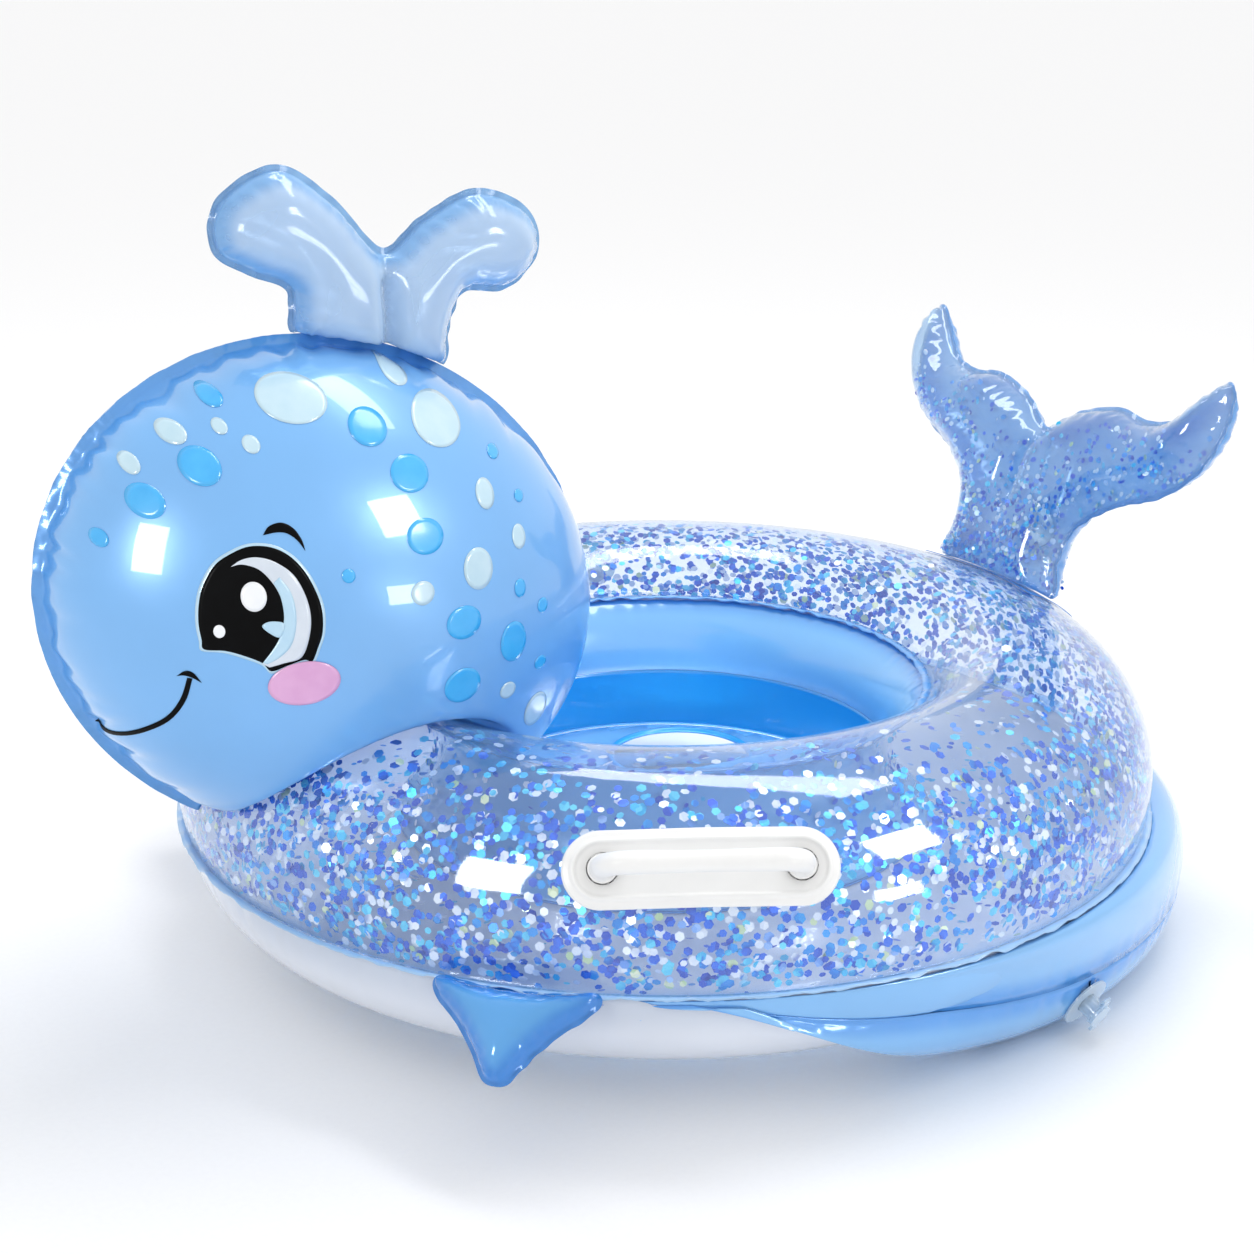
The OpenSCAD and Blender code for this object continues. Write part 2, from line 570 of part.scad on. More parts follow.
module bumper_valve_flap() { in_frame() at_bumper_valve() valve_flap(); }
module bumper_valve_plug() { in_frame() at_bumper_valve() valve_plug(); }

// the origin lies on the ground under the middle of the whole float
ring_y = -(head_front + bumper_back + bumper_r) / 2;

ring_top_panel();
ring_bottom_panel();
ring_inner_panel();
outer_seam_flange();
upper_seam_flange();
lower_seam_flange();
ring_glitter();
seat_wall();
seat_floor();
leg_collar_left();
leg_collar_right();
seat_saddle();
head_panel_left();
head_panel_right();
head_weld_patch();
spout_panel_left();
spout_panel_right();
tail_panel_front();
tail_panel_back();
tail_weld_patch();
tail_glitter();
fin_upper_left();
fin_lower_left();
fin_upper_right();
fin_lower_right();
handle_plate_left();
handle_grip_left();
handle_plate_right();
handle_grip_right();
bumper_panel_upper();
bumper_panel_lower();
ring_valve_base();
ring_valve_stem();
ring_valve_flap();
ring_valve_plug();
head_valve_base();
head_valve_stem();
head_valve_flap();
head_valve_plug();
tail_valve_base();
tail_valve_stem();
tail_valve_flap();
tail_valve_plug();
bumper_valve_base();
bumper_valve_stem();
bumper_valve_flap();
bumper_valve_plug();
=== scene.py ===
# %% [markdown]
# # An inflatable pool float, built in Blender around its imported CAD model
#
# The float is a set of thin PVC film bags, welded along their edges. A clear ring holds loose
# foil glitter. A blue head with a water spout stands on its front and a tail on its rear.
# The CAD model gives the sizes, the bodies and the joints. This script dresses it with pieces
# that have creases, seams, glitter, prints and real film finishes.

import math
import random

import bmesh
import bpy
import numpy as np
from mathutils import Matrix, Vector
from mathutils.geometry import delaunay_2d_cdt


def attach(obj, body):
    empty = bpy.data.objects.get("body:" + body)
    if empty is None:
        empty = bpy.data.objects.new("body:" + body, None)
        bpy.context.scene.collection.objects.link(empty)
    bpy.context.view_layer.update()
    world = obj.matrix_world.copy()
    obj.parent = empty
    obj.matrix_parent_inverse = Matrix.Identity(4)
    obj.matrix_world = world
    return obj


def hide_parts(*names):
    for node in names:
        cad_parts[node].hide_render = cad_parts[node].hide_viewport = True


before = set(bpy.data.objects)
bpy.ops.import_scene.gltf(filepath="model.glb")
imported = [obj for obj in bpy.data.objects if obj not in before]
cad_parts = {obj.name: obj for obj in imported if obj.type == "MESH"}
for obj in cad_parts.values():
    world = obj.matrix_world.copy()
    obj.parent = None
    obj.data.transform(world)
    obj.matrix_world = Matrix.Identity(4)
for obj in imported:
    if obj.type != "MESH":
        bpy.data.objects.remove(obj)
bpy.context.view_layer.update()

# %% [markdown]
# ## Sizes
#
# All shapes are worked out in millimetres, in the ring's own frame: its axis stands at the
# origin and the outer seam lies at height 0. One function moves them to the CAD frame, whose
# ground is lower and whose origin lies under the middle of the whole float. The numbers are
# those of the CAD source.

# %% The ring's sizes and the move to the CAD frame
RING_R, HALF_W, HALF_H, MID_UP = 243.5, 81.5, 88.0, 26.0
RING_Y, SEAM_H = 28.903, 92.0
OUTER_START, INNER_END = math.radians(-16.6), math.radians(144.1)
OUTER_SEAM = (321.36, 0.0)
UPPER_SEAM = (177.48, 77.60)
LOWER_SEAM = (180.98, -14.0)
FILM = 0.4                # thickness of the shown film
FLANGE_W = 5.0            # width of a welded edge


def to_frame(points):
    """Millimetres in the ring's frame become metres in the CAD frame."""
    return (np.asarray(points) + (0.0, RING_Y, SEAM_H)) / 1000.0


def on_tube(angle, off=0.0):
    """Distance from the axis and height of the ring's skin at an angle round its tube."""
    return RING_R + (HALF_W + off) * np.cos(angle), MID_UP + (HALF_H + off) * np.sin(angle)


print("ring is", 2 * (RING_R + HALF_W), "mm across; outer seam", 2 * OUTER_SEAM[0], "mm across")

# %% [markdown]
# ## Camera
#
# A float this size is shown from a little above with a moderate telephoto lens, so that the
# near side isn't swollen. The camera looks down by 18 degrees.

# %% Place the camera
YAW, PITCH = math.radians(60.92), math.radians(18.14)
CAMERA_AT = (1.3240, -0.7355, 0.7034)      # metres
behind = Vector((math.sin(YAW) * math.cos(PITCH), -math.cos(YAW) * math.cos(PITCH), math.sin(PITCH)))
camera_data = bpy.data.cameras.new("camera")
camera_data.lens = 69.19
camera_data.sensor_width = 36.0
camera = bpy.data.objects.new("camera", camera_data)
camera.matrix_world = Matrix.Translation(CAMERA_AT) @ behind.to_track_quat("Z", "Y").to_matrix().to_4x4()
bpy.context.scene.collection.objects.link(camera)
bpy.context.scene.camera = camera
print("camera lens", camera_data.lens, "mm")

# %% [markdown]
# ## Studio
#
# Clear film shows mostly by what it mirrors, so the lights matter as much as the shapes. One
# long softbox hangs overhead, one stands front left and two to the right. A white sky fills
# the shadows. A small light under the seat stands in for the daylight that scatters through
# the film round it. The floor is a plain pale sheet.

# %% Lights, sky and floor
scene = bpy.context.scene
scene.view_settings.view_transform = "Standard"
world = bpy.data.worlds.new("studio_sky")
world.use_nodes = True
world.node_tree.nodes["Background"].inputs["Color"].default_value = (1.0, 1.0, 1.0, 1.0)
world.node_tree.nodes["Background"].inputs["Strength"].default_value = 1.0
scene.world = world

SOFTBOXES = [
    # name, place in metres, width, height, watts, whether it also lights matt surfaces
    ("overhead_softbox", (-0.20, 0.46, 1.75), 1.50, 0.34, 11.0, True),
    ("left_softbox", (0.75, -1.55, 0.72), 0.42, 0.55, 11.0, False),
    ("right_softbox", (1.55, 0.75, 1.10), 0.48, 0.48, 12.0, False),
    ("low_right_softbox", (1.70, 0.55, 0.22), 0.30, 0.20, 2.5, False),
]
for name, at, wide, high, watts, on_matt in SOFTBOXES:
    light_data = bpy.data.lights.new(name, "AREA")
    light_data.shape = "RECTANGLE"
    light_data.size, light_data.size_y = wide, high
    light_data.energy = watts
    light = bpy.data.objects.new(name, light_data)
    aim = Vector(at) - Vector((0.0, 0.0, 0.15))
    light.matrix_world = Matrix.Translation(at) @ aim.to_track_quat("Z", "Y").to_matrix().to_4x4()
    light.visible_camera = False
    light.visible_diffuse = on_matt
    scene.collection.objects.link(light)
bounce_data = bpy.data.lights.new("light_through_the_film", "AREA")
bounce_data.size, bounce_data.energy = 0.16, 0.55
bounce = bpy.data.objects.new("light_through_the_film", bounce_data)
bounce.location = (0.0, 0.08, 0.066)
bounce.visible_camera = bounce.visible_glossy = False
scene.collection.objects.link(bounce)
print(len(SOFTBOXES), "softboxes and one glow under the seat")

# %% [markdown]
# ## Helpers for materials
#
# Colours are given as the usual hex codes and turned to linear light once. A second function
# adds one node, sets what it is given and links what it is given.

# %% Colour and node helpers
def linear(code):
    """A hex colour code as linear red, green, blue and alpha."""
    parts = [int(code[k:k + 2], 16) / 255.0 for k in (1, 3, 5)]
    return tuple(c / 12.92 if c <= 0.04045 else ((c + 0.055) / 1.055) ** 2.4 for c in parts) + (1.0,)


def add(material, kind, inputs=None, **settings):
    """Adds a node; inputs holds values or the sockets that feed it."""
    node = material.node_tree.nodes.new(kind)
    for key, value in settings.items():
        setattr(node, key, value)
    for key, value in (inputs or {}).items():
        if isinstance(value, bpy.types.NodeSocket):
            material.node_tree.links.new(value, node.inputs[key])
        else:
            node.inputs[key].default_value = value
    return node


def new_material(name):
    """An empty node material."""
    material = bpy.data.materials.new(name)
    material.use_nodes = True
    material.node_tree.nodes.clear()
    return material


def per_mm(size):
    """The texture scale whose pattern repeats about once in that many millimetres."""
    return 1000.0 / size


# %% The studio floor, a sheet of matt paper
floor_paper = new_material("matt_paper")
place = add(floor_paper, "ShaderNodeTexCoord")
grain = add(floor_paper, "ShaderNodeTexNoise", {"Vector": place.outputs["Object"], "Scale": per_mm(4)})
ramp = add(floor_paper, "ShaderNodeValToRGB", {"Fac": grain.outputs["Fac"]})
ramp.color_ramp.elements[0].color = linear("#F6F6F7")
ramp.color_ramp.elements[1].color = linear("#FBFBFB")
paper = add(floor_paper, "ShaderNodeBsdfPrincipled", {
    "Base Color": ramp.outputs["Color"], "Roughness": 0.9, "Specular IOR Level": 0.1})
add(floor_paper, "ShaderNodeOutputMaterial", {"Surface": paper.outputs["BSDF"]})
bm = bmesh.new()
bmesh.ops.create_grid(bm, x_segments=4, y_segments=4, size=14.0)
floor_mesh = bpy.data.meshes.new("studio_floor")
bm.to_mesh(floor_mesh)
bm.free()
floor_mesh.materials.append(floor_paper)
floor = bpy.data.objects.new("studio_floor", floor_mesh)
floor.location.z = -0.0006
scene.collection.objects.link(floor)
print("floor is 28 m across")

# %% [markdown]
# ## Film
#
#  Pool floats are welded from calendered PVC film about 0.3 mm thick. The film is smooth and
#  glossy, with an index of refraction near 1.53. Coloured film is pigmented and often
#  pearlescent: it has a faint metallic lustre. Its colour is painted darker towards each weld.
#  This is painted shade, for the deeper tone the film shows where it turns away at its edges
#  and gathers in creases. Each piece carries a "seam" value, 1 at its weld and 0 well away from
#  it, and the painted shade follows that.

# %% A function for pigmented film
def pigmented_film(name, middle, seam, lustre=0.15, roughness=0.22, see_through=0.0, sheen_scale=60.0):
    """Glossy PVC film with painted shade: its colour darkens towards its weld; see_through lets light and sight pass.
    """
    material = new_material(name)
    where = add(material, "ShaderNodeTexCoord")
    # painted shade: the colour runs from the middle colour to the darker weld colour as the seam value rises
    weld = add(material, "ShaderNodeAttribute", attribute_name="seam")
    ramp = add(material, "ShaderNodeValToRGB", {"Fac": weld.outputs["Fac"]})
    ramp.color_ramp.interpolation = "EASE"
    ramp.color_ramp.elements[0].color = linear(middle)
    ramp.color_ramp.elements[1].color = linear(seam)
    cloud = add(material, "ShaderNodeTexNoise",
                {"Vector": where.outputs["Object"], "Scale": per_mm(sheen_scale), "Detail": 3.0})
    tone = add(material, "ShaderNodeMapRange",
               {"Value": cloud.outputs["Fac"], "To Min": 0.93, "To Max": 1.07})
    painted_shade_and_tone = add(material, "ShaderNodeVectorMath",
                 {0: ramp.outputs["Color"], "Scale": tone.outputs["Result"]}, operation="SCALE")
    ripple = add(material, "ShaderNodeTexNoise",
                 {"Vector": where.outputs["Object"], "Scale": per_mm(22), "Detail": 2.0, "Roughness": 0.4})
    bump = add(material, "ShaderNodeBump",
               {"Height": ripple.outputs["Fac"], "Strength": 0.12, "Distance": 0.0015})
    skin = add(material, "ShaderNodeBsdfPrincipled", {
        "Base Color": painted_shade_and_tone.outputs["Vector"], "Metallic": lustre, "Roughness": roughness, "IOR": 1.53,
        "Coat Weight": 0.9, "Coat Roughness": 0.03, "Normal": bump.outputs["Normal"]})
    surface = skin.outputs["BSDF"]
    if see_through:
        facing = add(material, "ShaderNodeLayerWeight", {"Blend": 0.35})
        cover = add(material, "ShaderNodeMapRange", {
            "Value": facing.outputs["Facing"], "To Min": 1.0 - see_through, "To Max": 1.0})
        clear = add(material, "ShaderNodeBsdfTransparent", {"Color": linear("#EEF6FE")})
        mixed = add(material, "ShaderNodeMixShader",
                    {0: cover.outputs["Result"], 1: clear.outputs["BSDF"], 2: skin.outputs["BSDF"]})
        surface = mixed.outputs["Shader"]
    add(material, "ShaderNodeOutputMaterial", {"Surface": surface})
    return material


# The second colour of each film is its painted shade at the weld.
pearl_film = pigmented_film("pearl_blue_pvc_film", "#74B4EF", "#559FE6", 0.12, 0.30)
spout_film = pigmented_film("pale_blue_pvc_film", "#D3E8FA", "#86BFEE", 0.0, 0.18, 0.72)
royal_film = pigmented_film("strong_blue_pvc_film", "#5DB0F2", "#2F8CE4", 0.10, 0.16, 0.25)
wall_film = pigmented_film("light_blue_pvc_film", "#7FC2F4", "#559FE6", 0.05, 0.22)
seat_film = pigmented_film("deep_blue_pvc_film", "#2CAEF6", "#1590E2", 0.05, 0.25)
tail_back_film = pigmented_film("clear_blue_backing_pvc_film", "#86C6F6", "#4A9FE8", 0.05, 0.20, 0.35)
bumper_film = pigmented_film("bumper_blue_pvc_film", "#7FBBF1", "#4F9AE6", 0.12, 0.22)
white_film = pigmented_film("white_pvc_film", "#DFE5F0", "#C6CFDE", 0.0, 0.28)
print("pigmented films:", 8)

# %% [markdown]
# ## Clear film
#
# Clear PVC shows by its mirror gloss and a faint milky haze. It mirrors 4.4% of the light
# straight on and nearly all of it at grazing angles, by Schlick's rule: the fifth power of
# how far the surface turns away. The Fresnel node isn't used, because it takes the inside of
# a thin film for the inside of a solid block. The haze is a light blue, because the film
# holds a trace of blue toner against yellowing.

# %% Clear PVC film
def clear_film(name, haze, haze_colour, tint):
    """See-through film: Schlick gloss over a thin haze over a tinted clear layer."""
    material = new_material(name)
    where = add(material, "ShaderNodeTexCoord")
    ripple = add(material, "ShaderNodeTexNoise",
                 {"Vector": where.outputs["Object"], "Scale": per_mm(30), "Detail": 2.0, "Roughness": 0.4})
    bump = add(material, "ShaderNodeBump",
               {"Height": ripple.outputs["Fac"], "Strength": 0.15, "Distance": 0.002})
    weld = add(material, "ShaderNodeAttribute", attribute_name="seam")
    edge = add(material, "ShaderNodeLayerWeight", {"Blend": 0.25})
    thick = add(material, "ShaderNodeMath",
                {0: edge.outputs["Facing"], 1: weld.outputs["Fac"]}, operation="MAXIMUM")
    amount = add(material, "ShaderNodeMapRange", {
        "Value": thick.outputs["Value"], "To Min": haze, "To Max": min(1.0, haze * 3.0)})
    clear = add(material, "ShaderNodeBsdfTransparent", {"Color": linear(tint)})
    milk = add(material, "ShaderNodeBsdfPrincipled", {
        "Base Color": linear(haze_colour), "Roughness": 0.35, "IOR": 1.53, "Normal": bump.outputs["Normal"]})
    body = add(material, "ShaderNodeMixShader",
               {0: amount.outputs["Result"], 1: clear.outputs["BSDF"], 2: milk.outputs["BSDF"]})
    gloss = add(material, "ShaderNodeBsdfGlossy", {
        "Color": (1.0, 1.0, 1.0, 1.0), "Roughness": 0.06, "Normal": bump.outputs["Normal"]})
    grazing = add(material, "ShaderNodeLayerWeight", {"Blend": 0.5, "Normal": bump.outputs["Normal"]})
    steep = add(material, "ShaderNodeMath", {0: grazing.outputs["Facing"], 1: 5.0}, operation="POWER")
    mirror = add(material, "ShaderNodeMapRange",
                 {"Value": steep.outputs["Value"], "To Min": 0.044, "To Max": 0.9})
    surface = add(material, "ShaderNodeMixShader",
                  {0: mirror.outputs["Result"], 1: body.outputs["Shader"], 2: gloss.outputs["BSDF"]})
    add(material, "ShaderNodeOutputMaterial", {"Surface": surface.outputs["Shader"]})
    return material


ring_film = clear_film("clear_pvc_film", 0.035, "#A9D2FA", "#F8FBFF")
tail_film = clear_film("clear_blue_pvc_film", 0.05, "#BCDDF8", "#F0F8FE")
valve_pvc = clear_film("clear_moulded_pvc", 0.30, "#DCEBF7", "#E4F1FB")
print("clear films:", 3)

# %% [markdown]
# ## Foil glitter
#
# The flakes are punched from aluminised polyester film, lacquered in blues, silver and a
# rainbow tone. Each colour is its own piece, so that each has its own true metal finish.
# A slow noise over the object varies the lacquer's tone from flake to flake.

# %% One foil finish for each colour
def foil(name, dark, light, roughness):
    """Lacquered metal foil, its tone changing from flake to flake."""
    material = new_material(name)
    where = add(material, "ShaderNodeTexCoord")
    cells = add(material, "ShaderNodeTexVoronoi", {"Vector": where.outputs["Object"], "Scale": per_mm(7)})
    ramp = add(material, "ShaderNodeValToRGB", {"Fac": cells.outputs["Color"]})
    ramp.color_ramp.elements[0].position = 0.2
    ramp.color_ramp.elements[1].position = 0.8
    ramp.color_ramp.elements[0].color = linear(dark)
    ramp.color_ramp.elements[1].color = linear(light)
    metal = add(material, "ShaderNodeBsdfPrincipled", {
        "Base Color": ramp.outputs["Color"], "Metallic": 0.5, "Roughness": roughness})
    add(material, "ShaderNodeOutputMaterial", {"Surface": metal.outputs["BSDF"]})
    return material


FOILS = [
    # name, material, share of all flakes
    ("royal", foil("royal_blue_foil", "#0648C4", "#1470EC", 0.30), 0.30),
    ("azure", foil("azure_foil", "#0A82E0", "#22ACF6", 0.30), 0.22),
    ("cyan", foil("cyan_foil", "#1FB8EA", "#6FE2FA", 0.32), 0.17),
    ("lilac", foil("lilac_foil", "#6FA4EE", "#A8CCFA", 0.32), 0.05),
    ("silver", foil("silver_foil", "#EAF0FA", "#FFFFFF", 0.30), 0.23),
    ("rainbow", foil("pale_green_foil", "#C8E0A8", "#F4F6D0", 0.30), 0.05),
]
print("foils:", [name for name, _, _ in FOILS])

# %% [markdown]
# ## Moulded handle and printed inks
#
# The handles are injection-moulded soft PVC, white and satin. The prints are screen-printed
# vinyl inks: thin, slightly raised and a little less glossy than the film.

# %% Moulded PVC and inks
def solid_finish(name, colour, shade, roughness, coat, size):
    """An opaque finish with a soft mottle of the given size in millimetres."""
    material = new_material(name)
    where = add(material, "ShaderNodeTexCoord")
    mottle = add(material, "ShaderNodeTexNoise",
                 {"Vector": where.outputs["Object"], "Scale": per_mm(size), "Detail": 4.0})
    ramp = add(material, "ShaderNodeValToRGB", {"Fac": mottle.outputs["Fac"]})
    ramp.color_ramp.elements[0].position = 0.3
    ramp.color_ramp.elements[1].position = 0.7
    ramp.color_ramp.elements[0].color = linear(shade)
    ramp.color_ramp.elements[1].color = linear(colour)
    bump = add(material, "ShaderNodeBump",
               {"Height": mottle.outputs["Fac"], "Strength": 0.05, "Distance": 0.0005})
    shell = add(material, "ShaderNodeBsdfPrincipled", {
        "Base Color": ramp.outputs["Color"], "Roughness": roughness, "IOR": 1.5,
        "Specular IOR Level": min(0.5, coat),
        "Coat Weight": coat, "Coat Roughness": 0.1, "Normal": bump.outputs["Normal"]})
    add(material, "ShaderNodeOutputMaterial", {"Surface": shell.outputs["BSDF"]})
    return material


handle_pvc = solid_finish("moulded_white_pvc", "#F4F4F3", "#EFEFEE", 0.38, 0.2, 30)
INKS = {
    "cyan": solid_finish("cyan_ink", "#3DB8FA", "#2FAEF4", 0.25, 0.8, 12),
    "pale": solid_finish("pale_blue_ink", "#C6E2EF", "#BCDCEB", 0.25, 0.8, 12),
    "black": solid_finish("black_ink", "#050608", "#020203", 0.45, 0.05, 12),
    "white": solid_finish("white_ink", "#FAFCFF", "#F2F6FB", 0.25, 0.8, 12),
    "grey": solid_finish("grey_white_ink", "#DCE5F0", "#D3DDEA", 0.25, 0.8, 12),
    "sky": solid_finish("sky_blue_ink", "#BFE0F4", "#B4DAF2", 0.25, 0.8, 12),
    "blush": solid_finish("pink_ink", "#E3ACDA", "#DCA2D3", 0.30, 0.7, 12),
}
print("inks:", sorted(INKS))

# %% [markdown]
# ## Helpers for film bags
#
# A film panel starts as a flat grid made by an operator. Each vertex is then put in place by
# a formula, which is how a pattern cutter thinks of it: so far round the seam, so far in from
# it. Doubled vertices at the pole and where the seam closes are merged. A Solidify modifier
# gives the film its thickness, on the inside.

# %% Make, shape and finish a piece
def shaped_grid(columns, rows, place, closed=True):
    """A grid whose vertices place(u, v) puts, with u round and v across, both 0 to 1.
    place returns points in mm and the closeness to the seam."""
    bm = bmesh.new()
    bmesh.ops.create_grid(bm, x_segments=columns, y_segments=rows, size=1.0)
    uv = np.array([vert.co[:2] for vert in bm.verts]) * 0.5 + 0.5
    points, seam = place(uv[:, 0], uv[:, 1])
    layer = bm.verts.layers.float.new("seam")
    for vert, point, near in zip(bm.verts, points, np.broadcast_to(seam, len(points))):
        vert.co = point
        vert[layer] = near
    if closed:
        bmesh.ops.remove_doubles(bm, verts=bm.verts, dist=0.002)
    return bm


def turn_outward(bm, core):
    """Turns all faces if, taken together, they face the inside; core gives a point inside."""
    facing = sum(face.normal.dot(face.calc_center_median() - core(face.calc_center_median())) * face.calc_area()
                 for face in bm.faces)
    if facing < 0:
        bmesh.ops.reverse_faces(bm, faces=bm.faces)


def finish_piece(bm, name, material, nodes=(), body="float", wall=FILM, smooth=True, core=None):
    """Turns a bmesh in mm into a finished piece of the float."""
    bmesh.ops.recalc_face_normals(bm, faces=bm.faces)
    if core is not None:
        turn_outward(bm, core)
    where = to_frame([vert.co[:] for vert in bm.verts])
    for vert, point in zip(bm.verts, where):
        vert.co = point
    for face in bm.faces:
        face.smooth = smooth
    mesh = bpy.data.meshes.new(name)
    bm.to_mesh(mesh)
    bm.free()
    mesh.materials.append(material)
    piece = bpy.data.objects.new(name, mesh)
    scene.collection.objects.link(piece)
    if wall:
        thick = piece.modifiers.new("film", "SOLIDIFY")
        thick.thickness = wall / 1000.0
        thick.offset = -1.0
    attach(piece, body)
    if nodes:
        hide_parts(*nodes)
    print(name, len(mesh.polygons), "faces")
    return piece


def tube_core(point):
    """The nearest point of the circle inside the ring's tube."""
    flat = Vector((point.x, point.y, 0.0)).normalized() * (RING_R - 10.0)
    return Vector((flat.x, flat.y, 15.0))


# %% [markdown]
# ## Creases
#
# Where a flat film is welded and blown up, it has too much length along the weld, so it
# gathers in short creases that run away from the seam. They are set at random distances, with
# random width, reach and depth, from a fixed seed so that every run gives the same float.

# %% Creases along a seam
def creases(seed, length, spacing, width, reach, depth):
    """A list of creases (place, half width, reach, depth, lean) along a seam of that length in mm."""
    dice = random.Random(seed)
    found, at = [], dice.uniform(0, spacing[0])
    while at < length - spacing[0] * 0.6:
        found.append((at, dice.uniform(*width) / 2, dice.uniform(*reach), dice.uniform(*depth),
                      dice.uniform(-0.25, 0.25)))
        at += dice.uniform(*spacing)
    return found


def gathered(found, length, along, inward):
    """How deep the creases press the film in, at distance along the seam and inward from it."""
    total = np.zeros(np.shape(along))
    for at, half, reach, deep, lean in found:
        off = (along + lean * inward - at + length / 2) % length - length / 2
        t = inward / reach
        total += deep * np.exp(-(off / half) ** 2) * np.clip(t / 0.12, 0, 1) * np.clip(1 - t, 0, 1) ** 2
    return total


def wobble(seed, length, along, wave):
    """A smooth random wave along a closed seam, from -1 to 1, with waves about that long."""
    dice = random.Random(seed)
    total = np.zeros(np.shape(along))
    for k in range(5):
        turns = max(1, round(length / (wave * dice.uniform(0.6, 1.8))))
        total += np.sin(2 * np.pi * turns * along / length + dice.uniform(0, 6.28))
    return total / 3.0


def smooth_step(t):
    t = np.clip(t, 0, 1)
    return t * t * (3 - 2 * t)


def soft_max(a, b, k):
    """The larger of two heights, with the corner rounded over k mm."""
    h = np.clip(k - np.abs(a - b), 0, None) / k
    return np.maximum(a, b) + h * h * k / 4


print("crease helpers ready")

# %% [markdown]
# ## The ring
#
# Three film panels make the ring: a clear top from the outer seam to the inner one, a light
# blue wall inside the hole and a white belly underneath. Each is a profile spun about the
# ring's axis. Spin is the operator for this, and use_merge closes the turn. The creases come
# after it, along the seams.

# %% Spin a profile and press its creases
TURNS = 720
OUTER_LENGTH = 2 * math.pi * OUTER_SEAM[0]
INNER_LENGTH = 2 * math.pi * UPPER_SEAM[0]


def spun(profile, steps=TURNS, closed=False):
    """A profile of (distance, height) points in mm, spun about the ring's axis."""
    bm = bmesh.new()
    verts = [bm.verts.new((r, 0.0, z)) for r, z in profile]
    edges = [bm.edges.new(pair) for pair in zip(verts, verts[1:])]
    if closed:
        edges.append(bm.edges.new((verts[-1], verts[0])))
    bmesh.ops.spin(bm, geom=verts + edges, cent=(0, 0, 0), axis=(0, 0, 1), angle=2 * math.pi,
                   steps=steps, use_merge=True)
    return bm


def arc(start, end, sag, steps):
    """Points of a round arc from start to end that bulges to the left of the way by sag."""
    a, b = Vector(start), Vector(end)
    half = (b - a).length / 2
    radius = (half * half + sag * sag) / (2 * sag)
    way = (b - a).normalized()
    left = Vector((-way.y, way.x))
    centre = (a + b) / 2 + left * (sag - radius)
    spread = math.asin(min(1.0, half / abs(radius))) * (1 if radius > 0 else -1)
    return [tuple(centre + left * radius * math.cos(t) + way * radius * math.sin(t))
            for t in [spread * (2 * k / steps - 1) for k in range(steps + 1)]]


def press(bm, depth, seam):
    """Moves each vertex against its normal by depth(points), and notes how near the seam it is."""
    bm.normal_update()
    points = np.array([vert.co[:] for vert in bm.verts])
    normals = np.array([vert.normal[:] for vert in bm.verts])
    moved = points - normals * depth(points)[:, None]
    layer = bm.verts.layers.float.new("seam")
    near = seam(points)
    for vert, point, value in zip(bm.verts, moved, near):
        vert.co = point
        vert[layer] = value


OUTER_CREASES = creases(11, OUTER_LENGTH, (9, 17), (6, 12), (10, 34), (0.5, 1.7))
INNER_CREASES = creases(12, INNER_LENGTH, (9, 16), (6, 11), (8, 24), (0.4, 1.3))
BELLY_CREASES = creases(13, OUTER_LENGTH, (10, 22), (6, 13), (14, 60), (0.5, 2.0))
WALL_CREASES = creases(14, INNER_LENGTH, (9, 16), (6, 11), (8, 26), (0.4, 1.3))
print(len(OUTER_CREASES), "creases along the outer seam")

# %% The clear top panel
ARC_LENGTH = 88.0         # mm of film for one radian round the tube


def round_tube(points):
    """Azimuth and angle round the tube of points near the ring's skin."""
    rho = np.hypot(points[:, 0], points[:, 1])
    angle = np.arctan2((points[:, 2] - MID_UP) / HALF_H, (rho - RING_R) / HALF_W)
    return np.arctan2(points[:, 1], points[:, 0]), angle


def top_depth(points):
    azimuth, angle = round_tube(points)
    turn = azimuth % (2 * np.pi)
    outer = gathered(OUTER_CREASES, OUTER_LENGTH, turn * OUTER_SEAM[0], (angle - OUTER_START) * ARC_LENGTH)
    inner = gathered(INNER_CREASES, INNER_LENGTH, turn * UPPER_SEAM[0], (INNER_END - angle) * ARC_LENGTH)
    return outer + inner


def top_seam(points):
    _, angle = round_tube(points)
    return smooth_step(1 - np.minimum(angle - OUTER_START, INNER_END - angle) * ARC_LENGTH / 6.0)


profile = [on_tube(OUTER_START + (INNER_END - OUTER_START) * k / 44) for k in range(45)]
bm = spun(profile)
bmesh.ops.recalc_face_normals(bm, faces=bm.faces)
turn_outward(bm, tube_core)
press(bm, top_depth, top_seam)
finish_piece(bm, "ring_top_film", ring_film, ["ring_top_panel"], core=tube_core)

# %% The white belly
belly = arc((LOWER_SEAM[0], LOWER_SEAM[1] - 0.8), (OUTER_SEAM[0], -0.8), -60.0, 34)


def belly_depth(points):
    azimuth = np.arctan2(points[:, 1], points[:, 0]) % (2 * np.pi)
    inward = np.hypot(np.hypot(points[:, 0], points[:, 1]) - OUTER_SEAM[0], points[:, 2])
    return gathered(BELLY_CREASES, OUTER_LENGTH, azimuth * OUTER_SEAM[0], inward)


def belly_seam(points):
    inward = np.hypot(np.hypot(points[:, 0], points[:, 1]) - OUTER_SEAM[0], points[:, 2])
    return smooth_step(1 - inward / 40.0)


bm = spun(belly)
bmesh.ops.recalc_face_normals(bm, faces=bm.faces)
turn_outward(bm, tube_core)
press(bm, belly_depth, belly_seam)
finish_piece(bm, "ring_belly_film", white_film, ["ring_bottom_panel"], core=tube_core)

# %% The light blue wall of the hole
wall_line = arc((UPPER_SEAM[0], UPPER_SEAM[1] - 1.6), (LOWER_SEAM[0], LOWER_SEAM[1] + 0.8), -28.0, 26)


